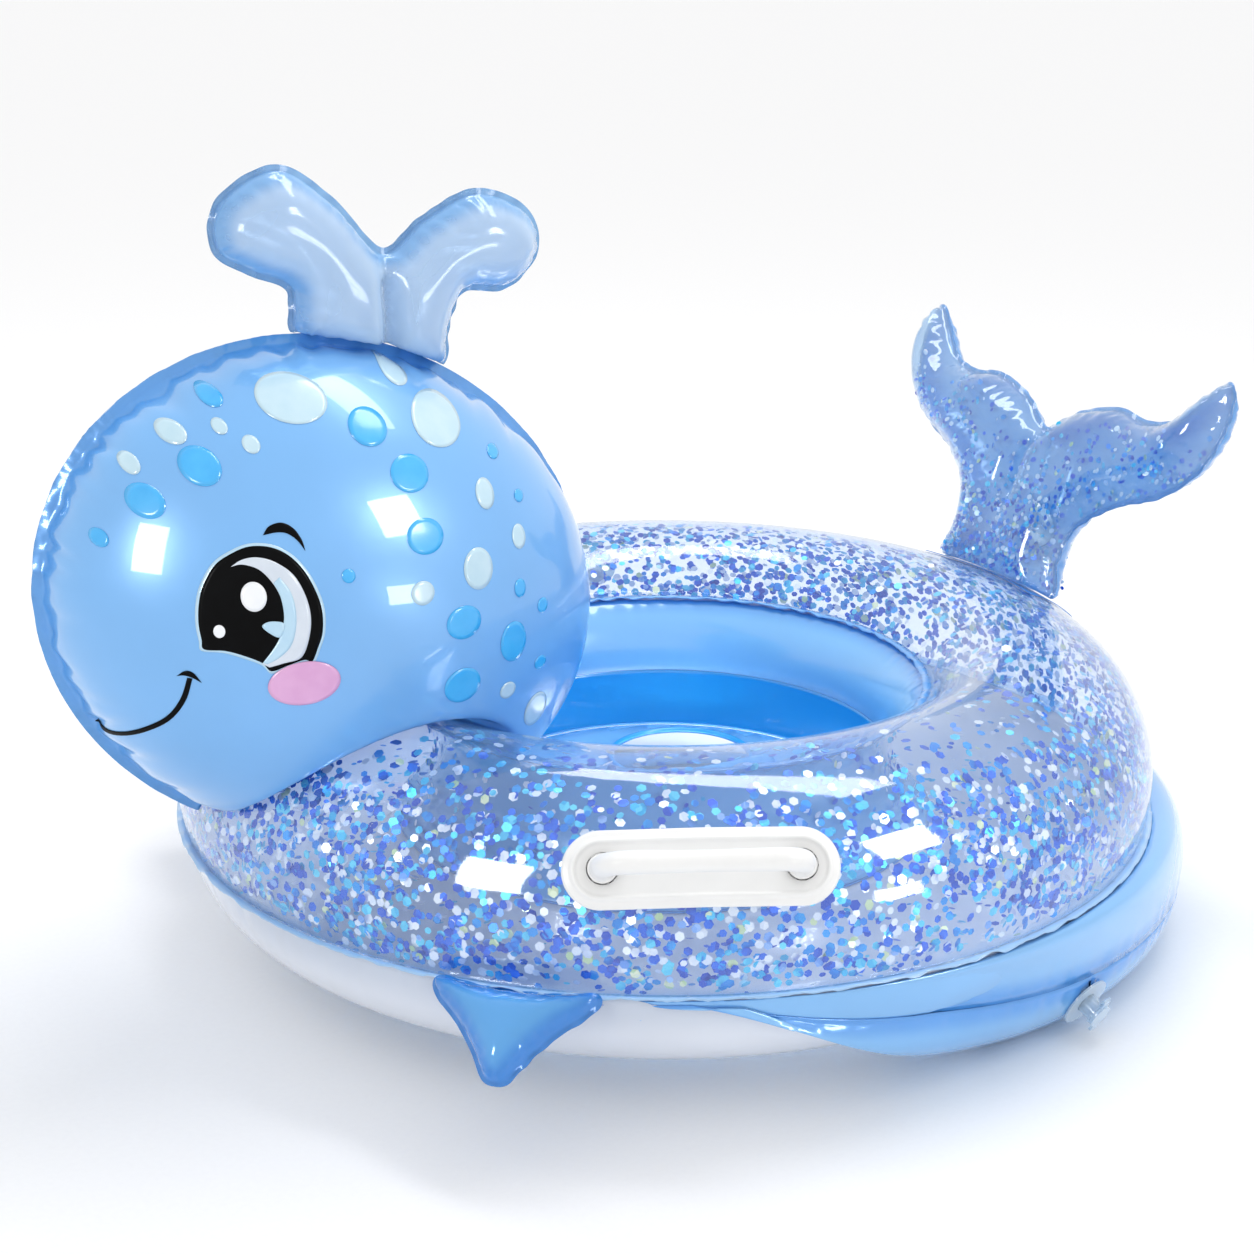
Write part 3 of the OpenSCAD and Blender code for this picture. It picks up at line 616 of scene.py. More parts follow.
def wall_depth(points):
    azimuth = np.arctan2(points[:, 1], points[:, 0]) % (2 * np.pi)
    return gathered(WALL_CREASES, INNER_LENGTH, azimuth * UPPER_SEAM[0], UPPER_SEAM[1] - points[:, 2])


def wall_seam(points):
    return smooth_step(1 - (UPPER_SEAM[1] - points[:, 2]) / 16.0)


bm = spun(wall_line)
bmesh.ops.recalc_face_normals(bm, faces=bm.faces)
turn_outward(bm, tube_core)
press(bm, wall_depth, wall_seam)
finish_piece(bm, "ring_wall_film", wall_film, ["ring_inner_panel"], core=tube_core)

# %% [markdown]
# The welded edges are two films pressed together, about 5 mm wide, and they never lie quite
# flat. Each is a small closed profile, spun, with a wave that grows towards its free edge.

# %% The welded edges of the ring
def welded_edge(name, radius, height, outward, width, thick, seed, material, nodes):
    """A wavy flange that stands out from a seam of that radius, or into the hole."""
    side = 1 if outward else -1
    low, high = height - thick / 2, height + thick / 2
    root, middle, free = radius - side * 0.8, radius + side * width * 0.5, radius + side * width
    line = [(root, low), (middle, low), (free, low + 0.1), (free, high - 0.1), (middle, high), (root, high)]
    bm = spun(line, closed=True)
    length = 2 * math.pi * radius
    layer = bm.verts.layers.float.new("seam")
    points = np.array([vert.co[:] for vert in bm.verts])
    azimuth = np.arctan2(points[:, 1], points[:, 0]) % (2 * np.pi)
    out = np.clip((np.hypot(points[:, 0], points[:, 1]) - radius) * side / width, 0, 1)
    at = azimuth * radius
    lift = out * (1.1 * wobble(seed, length, at, 26) + 0.4 * wobble(seed + 1, length, at, 9))
    for vert, dz in zip(bm.verts, lift):
        vert.co.z += dz
        vert[layer] = 1.0
    return finish_piece(bm, name, material, nodes, wall=0)


edge_film = clear_film("clear_pvc_weld", 0.45, "#9CC6EE", "#DCEBFA")
welded_edge("outer_seam_weld", OUTER_SEAM[0], 0.0, True, FLANGE_W, 0.9, 21, edge_film,
            ["outer_seam_flange"])
welded_edge("upper_seam_weld", UPPER_SEAM[0], UPPER_SEAM[1] - 0.8, False, FLANGE_W, 0.9, 22, wall_film,
            ["upper_seam_flange"])
welded_edge("lower_seam_weld", LOWER_SEAM[0], LOWER_SEAM[1], False, FLANGE_W, 0.9, 23, wall_film,
            ["lower_seam_flange"])

# %% [markdown]
# ## Glitter
#
# The flakes are small hexagons. One is made with operators and its copies are laid by
# matrices: most cling just under the clear top, thickest on the outer half where they slide
# down, and some lie on the belly and against the wall. Each leans a little its own way, so
# that at any time some of them catch a light. They cast no shadow here, because light that
# scatters through real film fills the chamber behind them.

# %% One flake and a way to lay many
def flake_mesh():
    """A hexagonal foil flake 2 mm across its corners and 0.12 mm thick, about the origin."""
    bm = bmesh.new()
    bmesh.ops.create_cone(bm, cap_ends=True, segments=6, radius1=1.0, radius2=1.0, depth=0.12)
    points = np.array([vert.co[:] for vert in bm.verts])
    faces = [[vert.index for vert in face.verts] for face in bm.faces]
    bm.free()
    return points, faces


FLAKE_POINTS, FLAKE_FACES = flake_mesh()


def lay_flakes(name, spots, material, nodes=()):
    """One piece with a flake at each spot: (centre, normal, spin, radius), all in mm."""
    count = len(spots)
    centre = np.array([s[0] for s in spots])
    normal = np.array([s[1] for s in spots])
    spin = np.array([s[2] for s in spots])
    size = np.array([s[3] for s in spots])
    helper = np.where(np.abs(normal[:, 2:3]) < 0.9, [[0.0, 0.0, 1.0]], [[1.0, 0.0, 0.0]])
    across = np.cross(helper, normal)
    across /= np.linalg.norm(across, axis=1)[:, None]
    along = np.cross(normal, across)
    x_axis = across * np.cos(spin)[:, None] + along * np.sin(spin)[:, None]
    y_axis = np.cross(normal, x_axis)
    flat = FLAKE_POINTS
    points = (centre[:, None, :] + x_axis[:, None, :] * (flat[None, :, 0:1] * size[:, None, None])
              + y_axis[:, None, :] * (flat[None, :, 1:2] * size[:, None, None])
              + normal[:, None, :] * flat[None, :, 2:3])
    step = len(flat)
    faces = [[k * step + v for v in face] for k in range(count) for face in FLAKE_FACES]
    mesh = bpy.data.meshes.new(name)
    mesh.from_pydata(to_frame(points.reshape(-1, 3)).tolist(), [], faces)
    mesh.materials.append(material)
    piece = bpy.data.objects.new(name, mesh)
    scene.collection.objects.link(piece)
    piece.visible_shadow = False
    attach(piece, "float")
    if nodes:
        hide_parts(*nodes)
    print(name, count, "flakes")
    return piece


def lay_in_colours(name, spots, node):
    """Shares the spots out among the foils; the first foil's piece stands for the CAD node."""
    start = 0
    for colour, material, share in FOILS:
        end = start + round(share * len(spots))
        lay_flakes(name + colour, spots[start:end], material, [node] if colour == "royal" else ())
        start = end


def leaning(dice, normal, lean):
    """The normal, tipped at random by about lean radians."""
    tip = np.array([dice.gauss(0, lean) for _ in range(3)])
    out = np.array(normal) + tip
    return out / np.linalg.norm(out)


# %% Spread the ring's flakes
dice = random.Random(5)
TOP_FLAKES, BELLY_FLAKES, WALL_FLAKES = 10500, 1500, 400
PATCH_WAVES = [(dice.uniform(0, 6.28), dice.randint(3, 17), dice.uniform(1.0, 6.0)) for _ in range(7)]


def thickness_at(azimuth, angle):
    """How thickly the flakes lie, 0 to 1: thick low on the outside, thin on top and inside."""
    low = 1.0 - 0.84 * smooth_step((angle - math.radians(35)) / math.radians(45))
    cloud = sum(math.sin(phase + turns * azimuth + twist * angle) for phase, turns, twist in PATCH_WAVES) / 5.0
    return float(np.clip(low * (0.85 + 0.35 * cloud), 0.05, 1.0))


spots = []
while len(spots) < TOP_FLAKES:
    azimuth = dice.uniform(-math.pi, math.pi)
    angle = dice.uniform(OUTER_START + 0.02, INNER_END - 0.03)
    rho, up = on_tube(angle, -1.0 - dice.random() ** 2 * 3.0)
    if dice.random() > thickness_at(azimuth, angle) * rho / 325.0:
        continue
    normal = (math.cos(angle) / HALF_W, math.sin(angle) / HALF_H)
    size = math.hypot(*normal)
    normal = (normal[0] / size * math.cos(azimuth), normal[0] / size * math.sin(azimuth), normal[1] / size)
    radius = dice.uniform(2.1, 3.4)
    depth = on_tube(angle, -2.0 - radius * 0.35 - dice.random() ** 2 * 3.5)
    spots.append(((depth[0] * math.cos(azimuth), depth[0] * math.sin(azimuth), depth[1]),
                  leaning(dice, normal, 0.17), dice.uniform(0, 6.28), radius))
for k in range(BELLY_FLAKES):
    azimuth, t = dice.uniform(-math.pi, math.pi), dice.uniform(0.12, 0.92)
    at = Vector(belly[0]).lerp(Vector(belly[-1]), t)
    row = belly[int(t * (len(belly) - 1))]
    spots.append(((row[0] * math.cos(azimuth), row[0] * math.sin(azimuth), row[1] + dice.uniform(8.0, 12.0)),
                  leaning(dice, (0, 0, 1), 0.2), dice.uniform(0, 6.28), dice.uniform(1.5, 2.9)))
for k in range(WALL_FLAKES):
    azimuth, t = dice.uniform(-math.pi, math.pi), dice.random() ** 0.6
    row = wall_line[int((0.05 + 0.9 * t) * (len(wall_line) - 1))]
    out = row[0] + dice.uniform(2.5, 5.0)
    spots.append(((out * math.cos(azimuth), out * math.sin(azimuth), row[1]),
                  leaning(dice, (math.cos(azimuth), math.sin(azimuth), 0), 0.25), dice.uniform(0, 6.28),
                  dice.uniform(1.5, 2.9)))
dice.shuffle(spots)

lay_in_colours("ring_glitter_", spots, "ring_glitter")

# %% [markdown]
# ## The seat
#
# The seat hangs from the wall's inside: a short sloping band, a floor with two leg holes with
# welded rims, and a small inflated saddle between them. The floor is filled between three
# circles, then cut into narrow strips by bisecting, so that it can sag.

# %% The seat's band and floor
SEAT_R, SEAT_DOWN, LEG_R, LEG_X, LEG_Y = 143.0, 12.0, 48.0, 62.0, 50.0
band = [(150.9 - 7.0 * t, 28.0 - 40.0 * t) for t in [k / 16 for k in range(17)]]
bm = spun(band, 360)
bmesh.ops.recalc_face_normals(bm, faces=bm.faces)
turn_outward(bm, tube_core)
# painted shade: the band's colour darkens towards its top edge
press(bm, lambda points: np.zeros(len(points)), lambda points: smooth_step((points[:, 2] + 14) / 50.0) * 0.6)
finish_piece(bm, "seat_band", seat_film, ["seat_wall"], core=tube_core)

bm = bmesh.new()
bmesh.ops.create_circle(bm, cap_ends=False, segments=160, radius=SEAT_R)
for side in (-1, 1):
    bmesh.ops.create_circle(bm, cap_ends=False, segments=96, radius=LEG_R,
                            matrix=Matrix.Translation((side * LEG_X, LEG_Y, 0)))
bmesh.ops.triangle_fill(bm, use_beauty=True, edges=bm.edges[:])
for axis in (0, 1):
    for k in range(-14, 15):
        point, normal = [0.0, 0.0, 0.0], [0.0, 0.0, 0.0]
        point[axis], normal[axis] = k * 10.0 + 0.37, 1.0
        bmesh.ops.bisect_plane(bm, geom=bm.verts[:] + bm.edges[:] + bm.faces[:], dist=0.0001,
                               plane_co=point, plane_no=normal)
layer = bm.verts.layers.float.new("seam")
for vert in bm.verts:
    x, y = vert.co.x, vert.co.y
    rim = max(0.0, 1 - math.hypot(x, y) / SEAT_R)
    holes = min(math.hypot(x - s * LEG_X, y - LEG_Y) - LEG_R for s in (-1, 1))
    free = min(1.0, rim * 5) * min(1.0, max(0.0, holes) / 14.0)
    wave = math.sin(x / 17.0 + 1.3 * math.sin(y / 23.0)) + math.sin(y / 19.0 + x / 41.0)
    vert.co.z = -SEAT_DOWN - free * (1.6 + 0.7 * wave)
    vert[layer] = 1.0 - min(1.0, min(rim * SEAT_R, max(0.0, holes)) / 12.0)
finish_piece(bm, "seat_floor_film", wall_film, ["seat_floor"],
             core=lambda point: Vector((point.x, point.y, -200.0)))

# %% The rims of the leg holes and the saddle
for side, name in ((1, "left"), (-1, "right")):
    bm = bmesh.new()
    upright = Matrix.Translation((LEG_R + 2.0, 0, -SEAT_DOWN + 1.3)) @ Matrix.Rotation(math.pi / 2, 4, "X")
    bmesh.ops.create_circle(bm, cap_ends=False, segments=12, radius=1.9, matrix=upright)
    bmesh.ops.spin(bm, geom=bm.verts[:] + bm.edges[:], cent=(0, 0, 0), axis=(0, 0, 1), angle=2 * math.pi,
                   steps=120, use_merge=True)
    bmesh.ops.translate(bm, verts=bm.verts, vec=(side * LEG_X, LEG_Y, 0))
    finish_piece(bm, "leg_hole_rim_" + name, seat_film, ["leg_collar_" + name], wall=0)

SADDLE_R, SADDLE_HALF = 8.0, 32.0
SADDLE_CREASES = creases(33, 160, (9, 14), (5, 8), (5, 11), (0.4, 1.0))


def saddle_skin(u, v):
    along = (v - 0.5) * 2 * (SADDLE_HALF + SADDLE_R)
    end = np.clip((np.abs(along) - SADDLE_HALF) / SADDLE_R, 0, 1)
    radius = SADDLE_R * np.sqrt(np.clip(1 - end ** 2, 0, 1))
    turn = 2 * np.pi * u
    dent = gathered(SADDLE_CREASES, 160, along + 60, np.abs(np.sin(turn)) * 10)
    radius = np.maximum(radius - dent * (radius > 3), 0)
    up = SADDLE_R - SEAT_DOWN + 0.3 + radius * np.sin(turn)
    return np.stack([radius * np.cos(turn), LEG_Y + along, up], -1), 0.2


bm = shaped_grid(40, 90, saddle_skin)
finish_piece(bm, "seat_saddle_film", seat_film, ["seat_saddle"],
             core=lambda point: Vector((0, point.y, -4.0)))

# %% [markdown]
# ## The head
#
# Two mirror-image film panels meet in a seam down the middle of the face. Blown up, they
# make an egg 358 by 300 by 236 mm, tipped forwards by 25 degrees, that rests on the ring.
# Its formula takes the turn round the seam and the rise from it, so that the same formula
# can lay the prints on the skin exactly.

# %% The head's skin
HEAD_L, HEAD_H, HEAD_W, HEAD_TIP = 179.0, 150.0, 118.0, math.radians(25)
HEAD_Y, HEAD_Z = -241.0, 173.0
HEAD_LENGTH = 1037.0      # mm of seam round the head
REST_GAP = 2.6            # the head and tail stand this far off the ring's film
HEAD_CREASES = creases(41, HEAD_LENGTH, (11, 21), (9, 16), (24, 75), (2.0, 6.0))


def ring_height(points, off):
    """Height of the ring's top over the points, and far below it beside the ring."""
    rho = np.hypot(points[..., 0], points[..., 1])
    half = np.where(rho < RING_R, 93.3, HALF_W) + off
    inside = np.clip(1 - ((rho - RING_R) / half) ** 2, 0, None)
    return np.where(inside > 0, MID_UP + (HALF_H + off) * np.sqrt(inside), -500.0)


def head_skin(turn, rise, side=1):
    """Points of the head's skin: turn round the seam and rise from it, in radians."""
    along = (turn % (2 * np.pi)) / (2 * np.pi) * HEAD_LENGTH
    dent = gathered(HEAD_CREASES, HEAD_LENGTH, along, rise * 130.0)
    fore, high = HEAD_L * np.cos(turn) * np.cos(rise), HEAD_H * np.sin(turn) * np.cos(rise)
    out = HEAD_W * np.sin(rise)
    normal = np.stack([fore / HEAD_L ** 2, high / HEAD_H ** 2, out / HEAD_W ** 2], -1)
    normal /= np.linalg.norm(normal, axis=-1)[..., None]
    fore, high, out = fore - normal[..., 0] * dent, high - normal[..., 1] * dent, out - normal[..., 2] * dent
    y = HEAD_Y + fore * math.cos(HEAD_TIP) + high * math.sin(HEAD_TIP)
    z = HEAD_Z + high * math.cos(HEAD_TIP) - fore * math.sin(HEAD_TIP)
    points = np.stack([np.maximum(out, 0.5) * side, y, z], -1)
    points[..., 2] = soft_max(points[..., 2], ring_height(points, REST_GAP), 9.0)
    return points


HEAD_COLUMNS, HEAD_ROWS = 600, 46


def head_panel(side):
    def place(u, v):
        row = np.rint(v * HEAD_ROWS)
        turn = 2 * np.pi * u
        rise = np.where(row < 2, 0.0, (np.pi / 2) * ((row - 1) / (HEAD_ROWS - 1)))
        points = head_skin(turn, rise, side)
        along = u % 1.0 * HEAD_LENGTH
        wave = 0.9 * wobble(42, HEAD_LENGTH, along, 24) + 0.35 * wobble(43, HEAD_LENGTH, along, 9)
        edge = row < 1
        out = np.stack([np.zeros_like(u), np.cos(turn) * math.cos(HEAD_TIP) + np.sin(turn) * math.sin(HEAD_TIP),
                        np.sin(turn) * math.cos(HEAD_TIP) - np.cos(turn) * math.sin(HEAD_TIP)], -1)
        points = points + np.where(edge, 1.0, 0.0)[:, None] * (out * FLANGE_W)
        points[:, 0] += np.where(edge, wave, np.where(row < 2, wave * 0.25, 0.0))
        points[:, 2] = np.maximum(points[:, 2], ring_height(points, REST_GAP))
        return points, smooth_step(1 - rise * 130.0 / 30.0)
    return shaped_grid(HEAD_COLUMNS, HEAD_ROWS, place)


def head_core(point):
    return Vector((0.0, HEAD_Y, HEAD_Z))


for side, name in ((1, "left"), (-1, "right")):
    finish_piece(head_panel(side), "head_film_" + name, pearl_film, ["head_panel_" + name],
                 core=head_core)

# %% [markdown]
# ## Prints on the head
#
# Dots, an eye, a smile and a blush are screen-printed on both cheeks. Each print is a thin
# patch of ink that follows the skin a fraction of a millimetre above it. A patch is given
# flat, in millimetres from the head's middle, seen from the side, and then wrapped.

# %% Wrap flat shapes onto the head
def on_head(flat, lift):
    """Points on the left cheek over flat (y, z) points in mm from the head's middle, lifted."""
    flat = np.asarray(flat, dtype=float)
    fore = flat[:, 0] * math.cos(HEAD_TIP) - flat[:, 1] * math.sin(HEAD_TIP)
    high = flat[:, 1] * math.cos(HEAD_TIP) + flat[:, 0] * math.sin(HEAD_TIP)
    scaled = np.clip(np.hypot(fore / HEAD_L, high / HEAD_H), 0, 0.9995)
    turn, rise = np.arctan2(high / HEAD_H, fore / HEAD_L), np.arccos(scaled)
    here = head_skin(turn, rise)
    nudge = 0.004
    a = head_skin(turn + nudge, rise) - head_skin(turn - nudge, rise)
    b = head_skin(turn, rise + nudge) - head_skin(turn, rise - nudge)
    normal = np.cross(a, b)
    normal /= np.linalg.norm(normal, axis=1)[:, None]
    away = here - np.array([0.0, HEAD_Y, HEAD_Z])
    normal *= np.sign(np.sum(normal * away, axis=1))[:, None]
    return here + normal * lift


def passing(a, b, c, d, t):
    """The point at t, 0 to 1, of the Catmull-Rom curve from b to c, with a and d on either side."""
    return 0.5 * (2 * b + (c - a) * t + (2 * a - 5 * b + 4 * c - d) * t * t
                  + (3 * b - a - 3 * c + d) * t ** 3)


def loop_of(points, steps):
    """A smooth closed line through a few points."""
    points = np.asarray(points, dtype=float)
    line = []
    for k in range(len(points)):
        a, b, c, d = (points[(k + j) % len(points)] for j in (-1, 0, 1, 2))
        for t in np.arange(steps) / steps:
            line.append(passing(a, b, c, d, t))
    return np.array(line)


def blob(bm, outline, centre, lift):
    """A filled patch inside an outline, made of rings that shrink to its centre."""
    outline, centre = np.asarray(outline), np.asarray(centre, dtype=float)
    rings = max(3, int(np.max(np.linalg.norm(outline - centre, axis=1)) / 2.5))
    rows = [on_head(centre + (outline - centre) * (1 - k / rings), lift) for k in range(rings)]
    hub = bm.verts.new(on_head([centre], lift)[0])
    last = [bm.verts.new(point) for point in rows[0]]
    for row in rows[1:]:
        inner = [bm.verts.new(point) for point in row]
        for k in range(len(row)):
            bm.faces.new((last[k], last[(k + 1) % len(row)], inner[(k + 1) % len(row)], inner[k]))
        last = inner
    for k in range(len(last)):
        bm.faces.new((last[k], last[(k + 1) % len(last)], hub))


def band_between(bm, first, second, lift, steps=24, across=5):
    """A filled patch between two open lines."""
    def spread(line):
        line = np.asarray(line, dtype=float)
        ends = np.vstack([2 * line[0] - line[1], line, 2 * line[-1] - line[-2]])
        out = []
        for t in np.linspace(0, len(line) - 1 - 1e-9, steps):
            k, f = int(t), t - int(t)
            a, b, c, d = ends[k:k + 4]
            out.append(passing(a, b, c, d, f))
        return np.array(out)
    one, two = spread(first), spread(second)
    rows = [[bm.verts.new(point) for point in on_head(one + (two - one) * j / across, lift)]
            for j in range(across + 1)]
    for low, high in zip(rows, rows[1:]):
        for k in range(steps - 1):
            bm.faces.new((low[k], low[k + 1], high[k + 1], high[k]))


def oval(y, z, ry, rz, tilt=0.0, steps=40):
    turn = np.arange(steps) / steps * 2 * np.pi
    a, b = ry * np.cos(turn), rz * np.sin(turn)
    return np.stack([y + a * math.cos(tilt) - b * math.sin(tilt),
                     z + a * math.sin(tilt) + b * math.cos(tilt)], -1)


def finish_print(bm, name, ink):
    """Mirrors a print to the other cheek and gives it its thickness."""
    bmesh.ops.remove_doubles(bm, verts=bm.verts, dist=0.01)
    copy = bmesh.ops.duplicate(bm, geom=bm.verts[:] + bm.edges[:] + bm.faces[:])
    verts = [item for item in copy["geom"] if isinstance(item, bmesh.types.BMVert)]
    bmesh.ops.scale(bm, verts=verts, vec=(-1, 1, 1))
    bmesh.ops.recalc_face_normals(bm, faces=bm.faces)
    for face in bm.faces:
        if face.normal.dot(face.calc_center_median() - head_core(None)) < 0:
            face.normal_flip()
    where = to_frame([vert.co[:] for vert in bm.verts])
    for vert, point in zip(bm.verts, where):
        vert.co = point
    for face in bm.faces:
        face.smooth = True
    mesh = bpy.data.meshes.new(name)
    bm.to_mesh(mesh)
    bm.free()
    mesh.materials.append(INKS[ink])
    piece = bpy.data.objects.new(name, mesh)
    scene.collection.objects.link(piece)
    thick = piece.modifiers.new("ink", "SOLIDIFY")
    thick.thickness, thick.offset = 0.00012, -1.0
    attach(piece, "float")
    print(name, len(mesh.polygons), "faces")
    return piece


# %% The dots
CYAN_DOTS = [(-97, 105, 10.5, 10), (-127, 87, 9, 9), (-151, 66, 4, 5), (-79, 138, 6, 5.5), (1, 118, 12, 9.8),
             (19, 92, 12.5, 10), (21, 58, 12, 10), (41, 5, 12, 10), (77, -15, 10, 12.5), (40, -34, 12.5, 11),
             (84, 16, 4.5, 5.5), (95, 66, 4, 3.5), (84, 92, 5, 4), (102, 1, 4.5, 4.5), (100, -35, 5, 4.5),
             (-29, 43, 4, 4)]
PALE_DOTS = [(-105, 121, 7, 6), (-129, 105, 4.5, 5.5), (-68, 115, 4.7, 4.6), (-81, 124, 4, 4), (-37, 135, 20, 12),
             (36, 140, 9, 7), (49, 115, 18, 14), (68, 73, 7, 8.5), (88, 45, 5.5, 7), (54, 34, 10.5, 12),
             (15, 27, 7.5, 7), (74, -46, 6, 5.5), (101, -68, 10, 12)]
for name, ink, dots in (("cyan_dots_print", "cyan", CYAN_DOTS), ("pale_dots_print", "pale", PALE_DOTS)):
    bm = bmesh.new()
    for y, z, ry, rz in dots:
        blob(bm, oval(y, z, ry, rz), (y, z), 0.30)
    finish_print(bm, name, ink)

# %% The eye
EYE = [(-110, 12), (-111, 22), (-110, 33), (-107, 43), (-100, 54), (-91, 60), (-81, 63.5), (-70, 62.5), (-61, 57.5),
       (-54, 49), (-49, 38), (-46, 26), (-46.5, 13), (-49.5, 4), (-53, -4), (-57, -2.5), (-66, -5), (-75, -8), (-80, -2.5),
       (-90, 2.5), (-99, 5.5), (-109, 6.5)]
EYE_MIDDLE = (-79, 28)
eye_line = loop_of(EYE, 5)
bm = bmesh.new()
spread = eye_line - np.array(EYE_MIDDLE)
blob(bm, np.array(EYE_MIDDLE) + spread * (1 + 1.6 / np.linalg.norm(spread, axis=1))[:, None], EYE_MIDDLE, 0.22)
finish_print(bm, "eye_rim_print", "sky")

BROW_TOP = [(-73, 69), (-69, 73.5), (-62, 75), (-56, 71.5), (-52.5, 65), (-51.5, 59)]
BROW_LOW = [(-73, 69), (-66, 70), (-61, 69.5), (-57, 67), (-54, 63.5), (-51.5, 59)]
SMILE_TOP = [(-151.5, -57), (-149, -57.5), (-143, -53.5), (-135, -46.3), (-126, -36.5), (-120.5, -24.5), (-117.5, -11)]
SMILE_LOW = [(-150.8, -59), (-148, -60.2), (-142, -56.5), (-134, -49.6), (-124.5, -39.5), (-118, -26), (-115, -11.5)]
CORNER_TOP = [(-122.5, -10), (-118.5, -6.8), (-114.5, -8), (-110.5, -14)]
CORNER_LOW = [(-122.5, -10), (-119, -9.6), (-115, -11), (-110.5, -14)]
bm = bmesh.new()
blob(bm, eye_line, EYE_MIDDLE, 0.34)
for top, low in ((BROW_TOP, BROW_LOW), (SMILE_TOP, SMILE_LOW), (CORNER_TOP, CORNER_LOW)):
    band_between(bm, top, low, 0.34, 30, 3)
finish_print(bm, "black_print", "black")

# %% The light parts of the eye
CRESCENT_OUT = [(-92, 53), (-86, 56.5), (-78, 57.5), (-69, 54.5), (-60, 47), (-54.5, 35), (-52.5, 22), (-54.5, 9),
                (-59, -1), (-68, -3.5), (-76, -5.5)]
CRESCENT_IN = [(-92, 53), (-86, 54), (-78, 51), (-72, 44), (-68, 35), (-67, 25), (-68, 18), (-70, 12), (-73, 6),
               (-76, 1), (-80, -3)]
bm = bmesh.new()
band_between(bm, CRESCENT_OUT, CRESCENT_IN, 0.46, 60, 7)
finish_print(bm, "eye_crescent_print", "grey")
SKY_OUT = [(-67.5, 46), (-62.5, 38), (-60.5, 28), (-61, 17), (-64, 7), (-70, 0.5), (-77, -3.5)]
SKY_IN = [(-71, 43), (-68, 35), (-67, 25), (-68, 18), (-70.5, 11), (-74, 5), (-79.5, -2.5)]
bm = bmesh.new()
band_between(bm, SKY_OUT, SKY_IN, 0.56, 40, 4)
blob(bm, loop_of([(-79, 19), (-75, 21.5), (-68, 20.5), (-67, 17), (-70, 12), (-75, 14.5)], 5), (-72.5, 17.5), 0.60)
finish_print(bm, "eye_band_print", "sky")
bm = bmesh.new()
blob(bm, oval(-82, 36, 6.8, 8.4), (-82, 36), 0.46)
blob(bm, oval(-101, 17, 3.0, 3.8), (-101, 17), 0.46)
finish_print(bm, "eye_highlight_print", "white")
bm = bmesh.new()
blob(bm, oval(-57, -17, 20.0, 13.5, 0.05), (-57, -17), 0.62)
finish_print(bm, "blush_print", "blush")

# %% [markdown]
# ## Pillows
#
# Spout, tail and fins are cut flat from two sheets and blown up. Such a pillow is about as
# thick as a round tube wherever it is narrow. So the rise over its flat shape is worked out
# from the distance to its outline, then smoothed, and creases run in from the weld.

# %% A film pillow from an outline
def outline_distance(points, line):
    """Distance of flat points from a closed line."""
    best = np.full(len(points), 1e9)
    nearest = np.zeros(len(points))
    steps = np.linalg.norm(np.roll(line, -1, axis=0) - line, axis=1)
    marks = np.concatenate([[0], np.cumsum(steps)])
    for k in range(len(line)):
        a, b = line[k], line[(k + 1) % len(line)]
        way = b - a
        t = np.clip(((points - a) @ way) / max(way @ way, 1e-9), 0, 1)
        far = np.linalg.norm(points - a - t[:, None] * way, axis=1)
        closer = far < best
        best[closer], nearest[closer] = far[closer], marks[k] + t[closer] * steps[k]
    return best, nearest, marks[-1]


def winding(points, line):
    """How far the line turns round each point: near 2 pi inside a closed line, near 0 outside."""
    turns = np.zeros(len(points))
    for k in range(len(line)):
        a, b = line[k] - points, line[(k + 1) % len(line)] - points
        turns += np.arctan2(a[:, 0] * b[:, 1] - a[:, 1] * b[:, 0], a[:, 0] * b[:, 0] + a[:, 1] * b[:, 1])
    return turns


def flat_sheet(line, fine):
    """Flat points filling an outline, rings near the edge and a triangle lattice inside, and their faces."""
    out = np.roll(line, -1, axis=0) - np.roll(line, 1, axis=0)
    out = np.stack([out[:, 1], -out[:, 0]], -1) / np.linalg.norm(out, axis=1)[:, None]
    area = np.sum(line[:, 0] * np.roll(line[:, 1], -1) - np.roll(line[:, 0], -1) * line[:, 1])
    out *= math.copysign(1.0, area)
    low, high = line.min(axis=0), line.max(axis=0)
    lattice = [(x + (j % 2) * fine / 2, y) for j, y in enumerate(np.arange(low[1], high[1], fine * 0.87))
               for x in np.arange(low[0], high[0], fine)]
    inside = [np.array(lattice)] + [line - out * step for step in (0.7, 1.8, 3.4)]
    kept = [line]
    for group, least in zip(inside, (4.6, 0.6, 1.6, 3.1)):
        far, _, _ = outline_distance(group, line)
        kept.append(group[(np.abs(winding(group, line)) > 3.0) & (far > least)])
    flat = np.vstack(kept)
    count = len(line)
    rim = [(k, (k + 1) % count) for k in range(count)]
    points, _, faces, *_ = delaunay_2d_cdt([Vector(p) for p in flat.tolist()], rim, [], 1, 1e-4)
    return np.array([p[:] for p in points]), faces, out


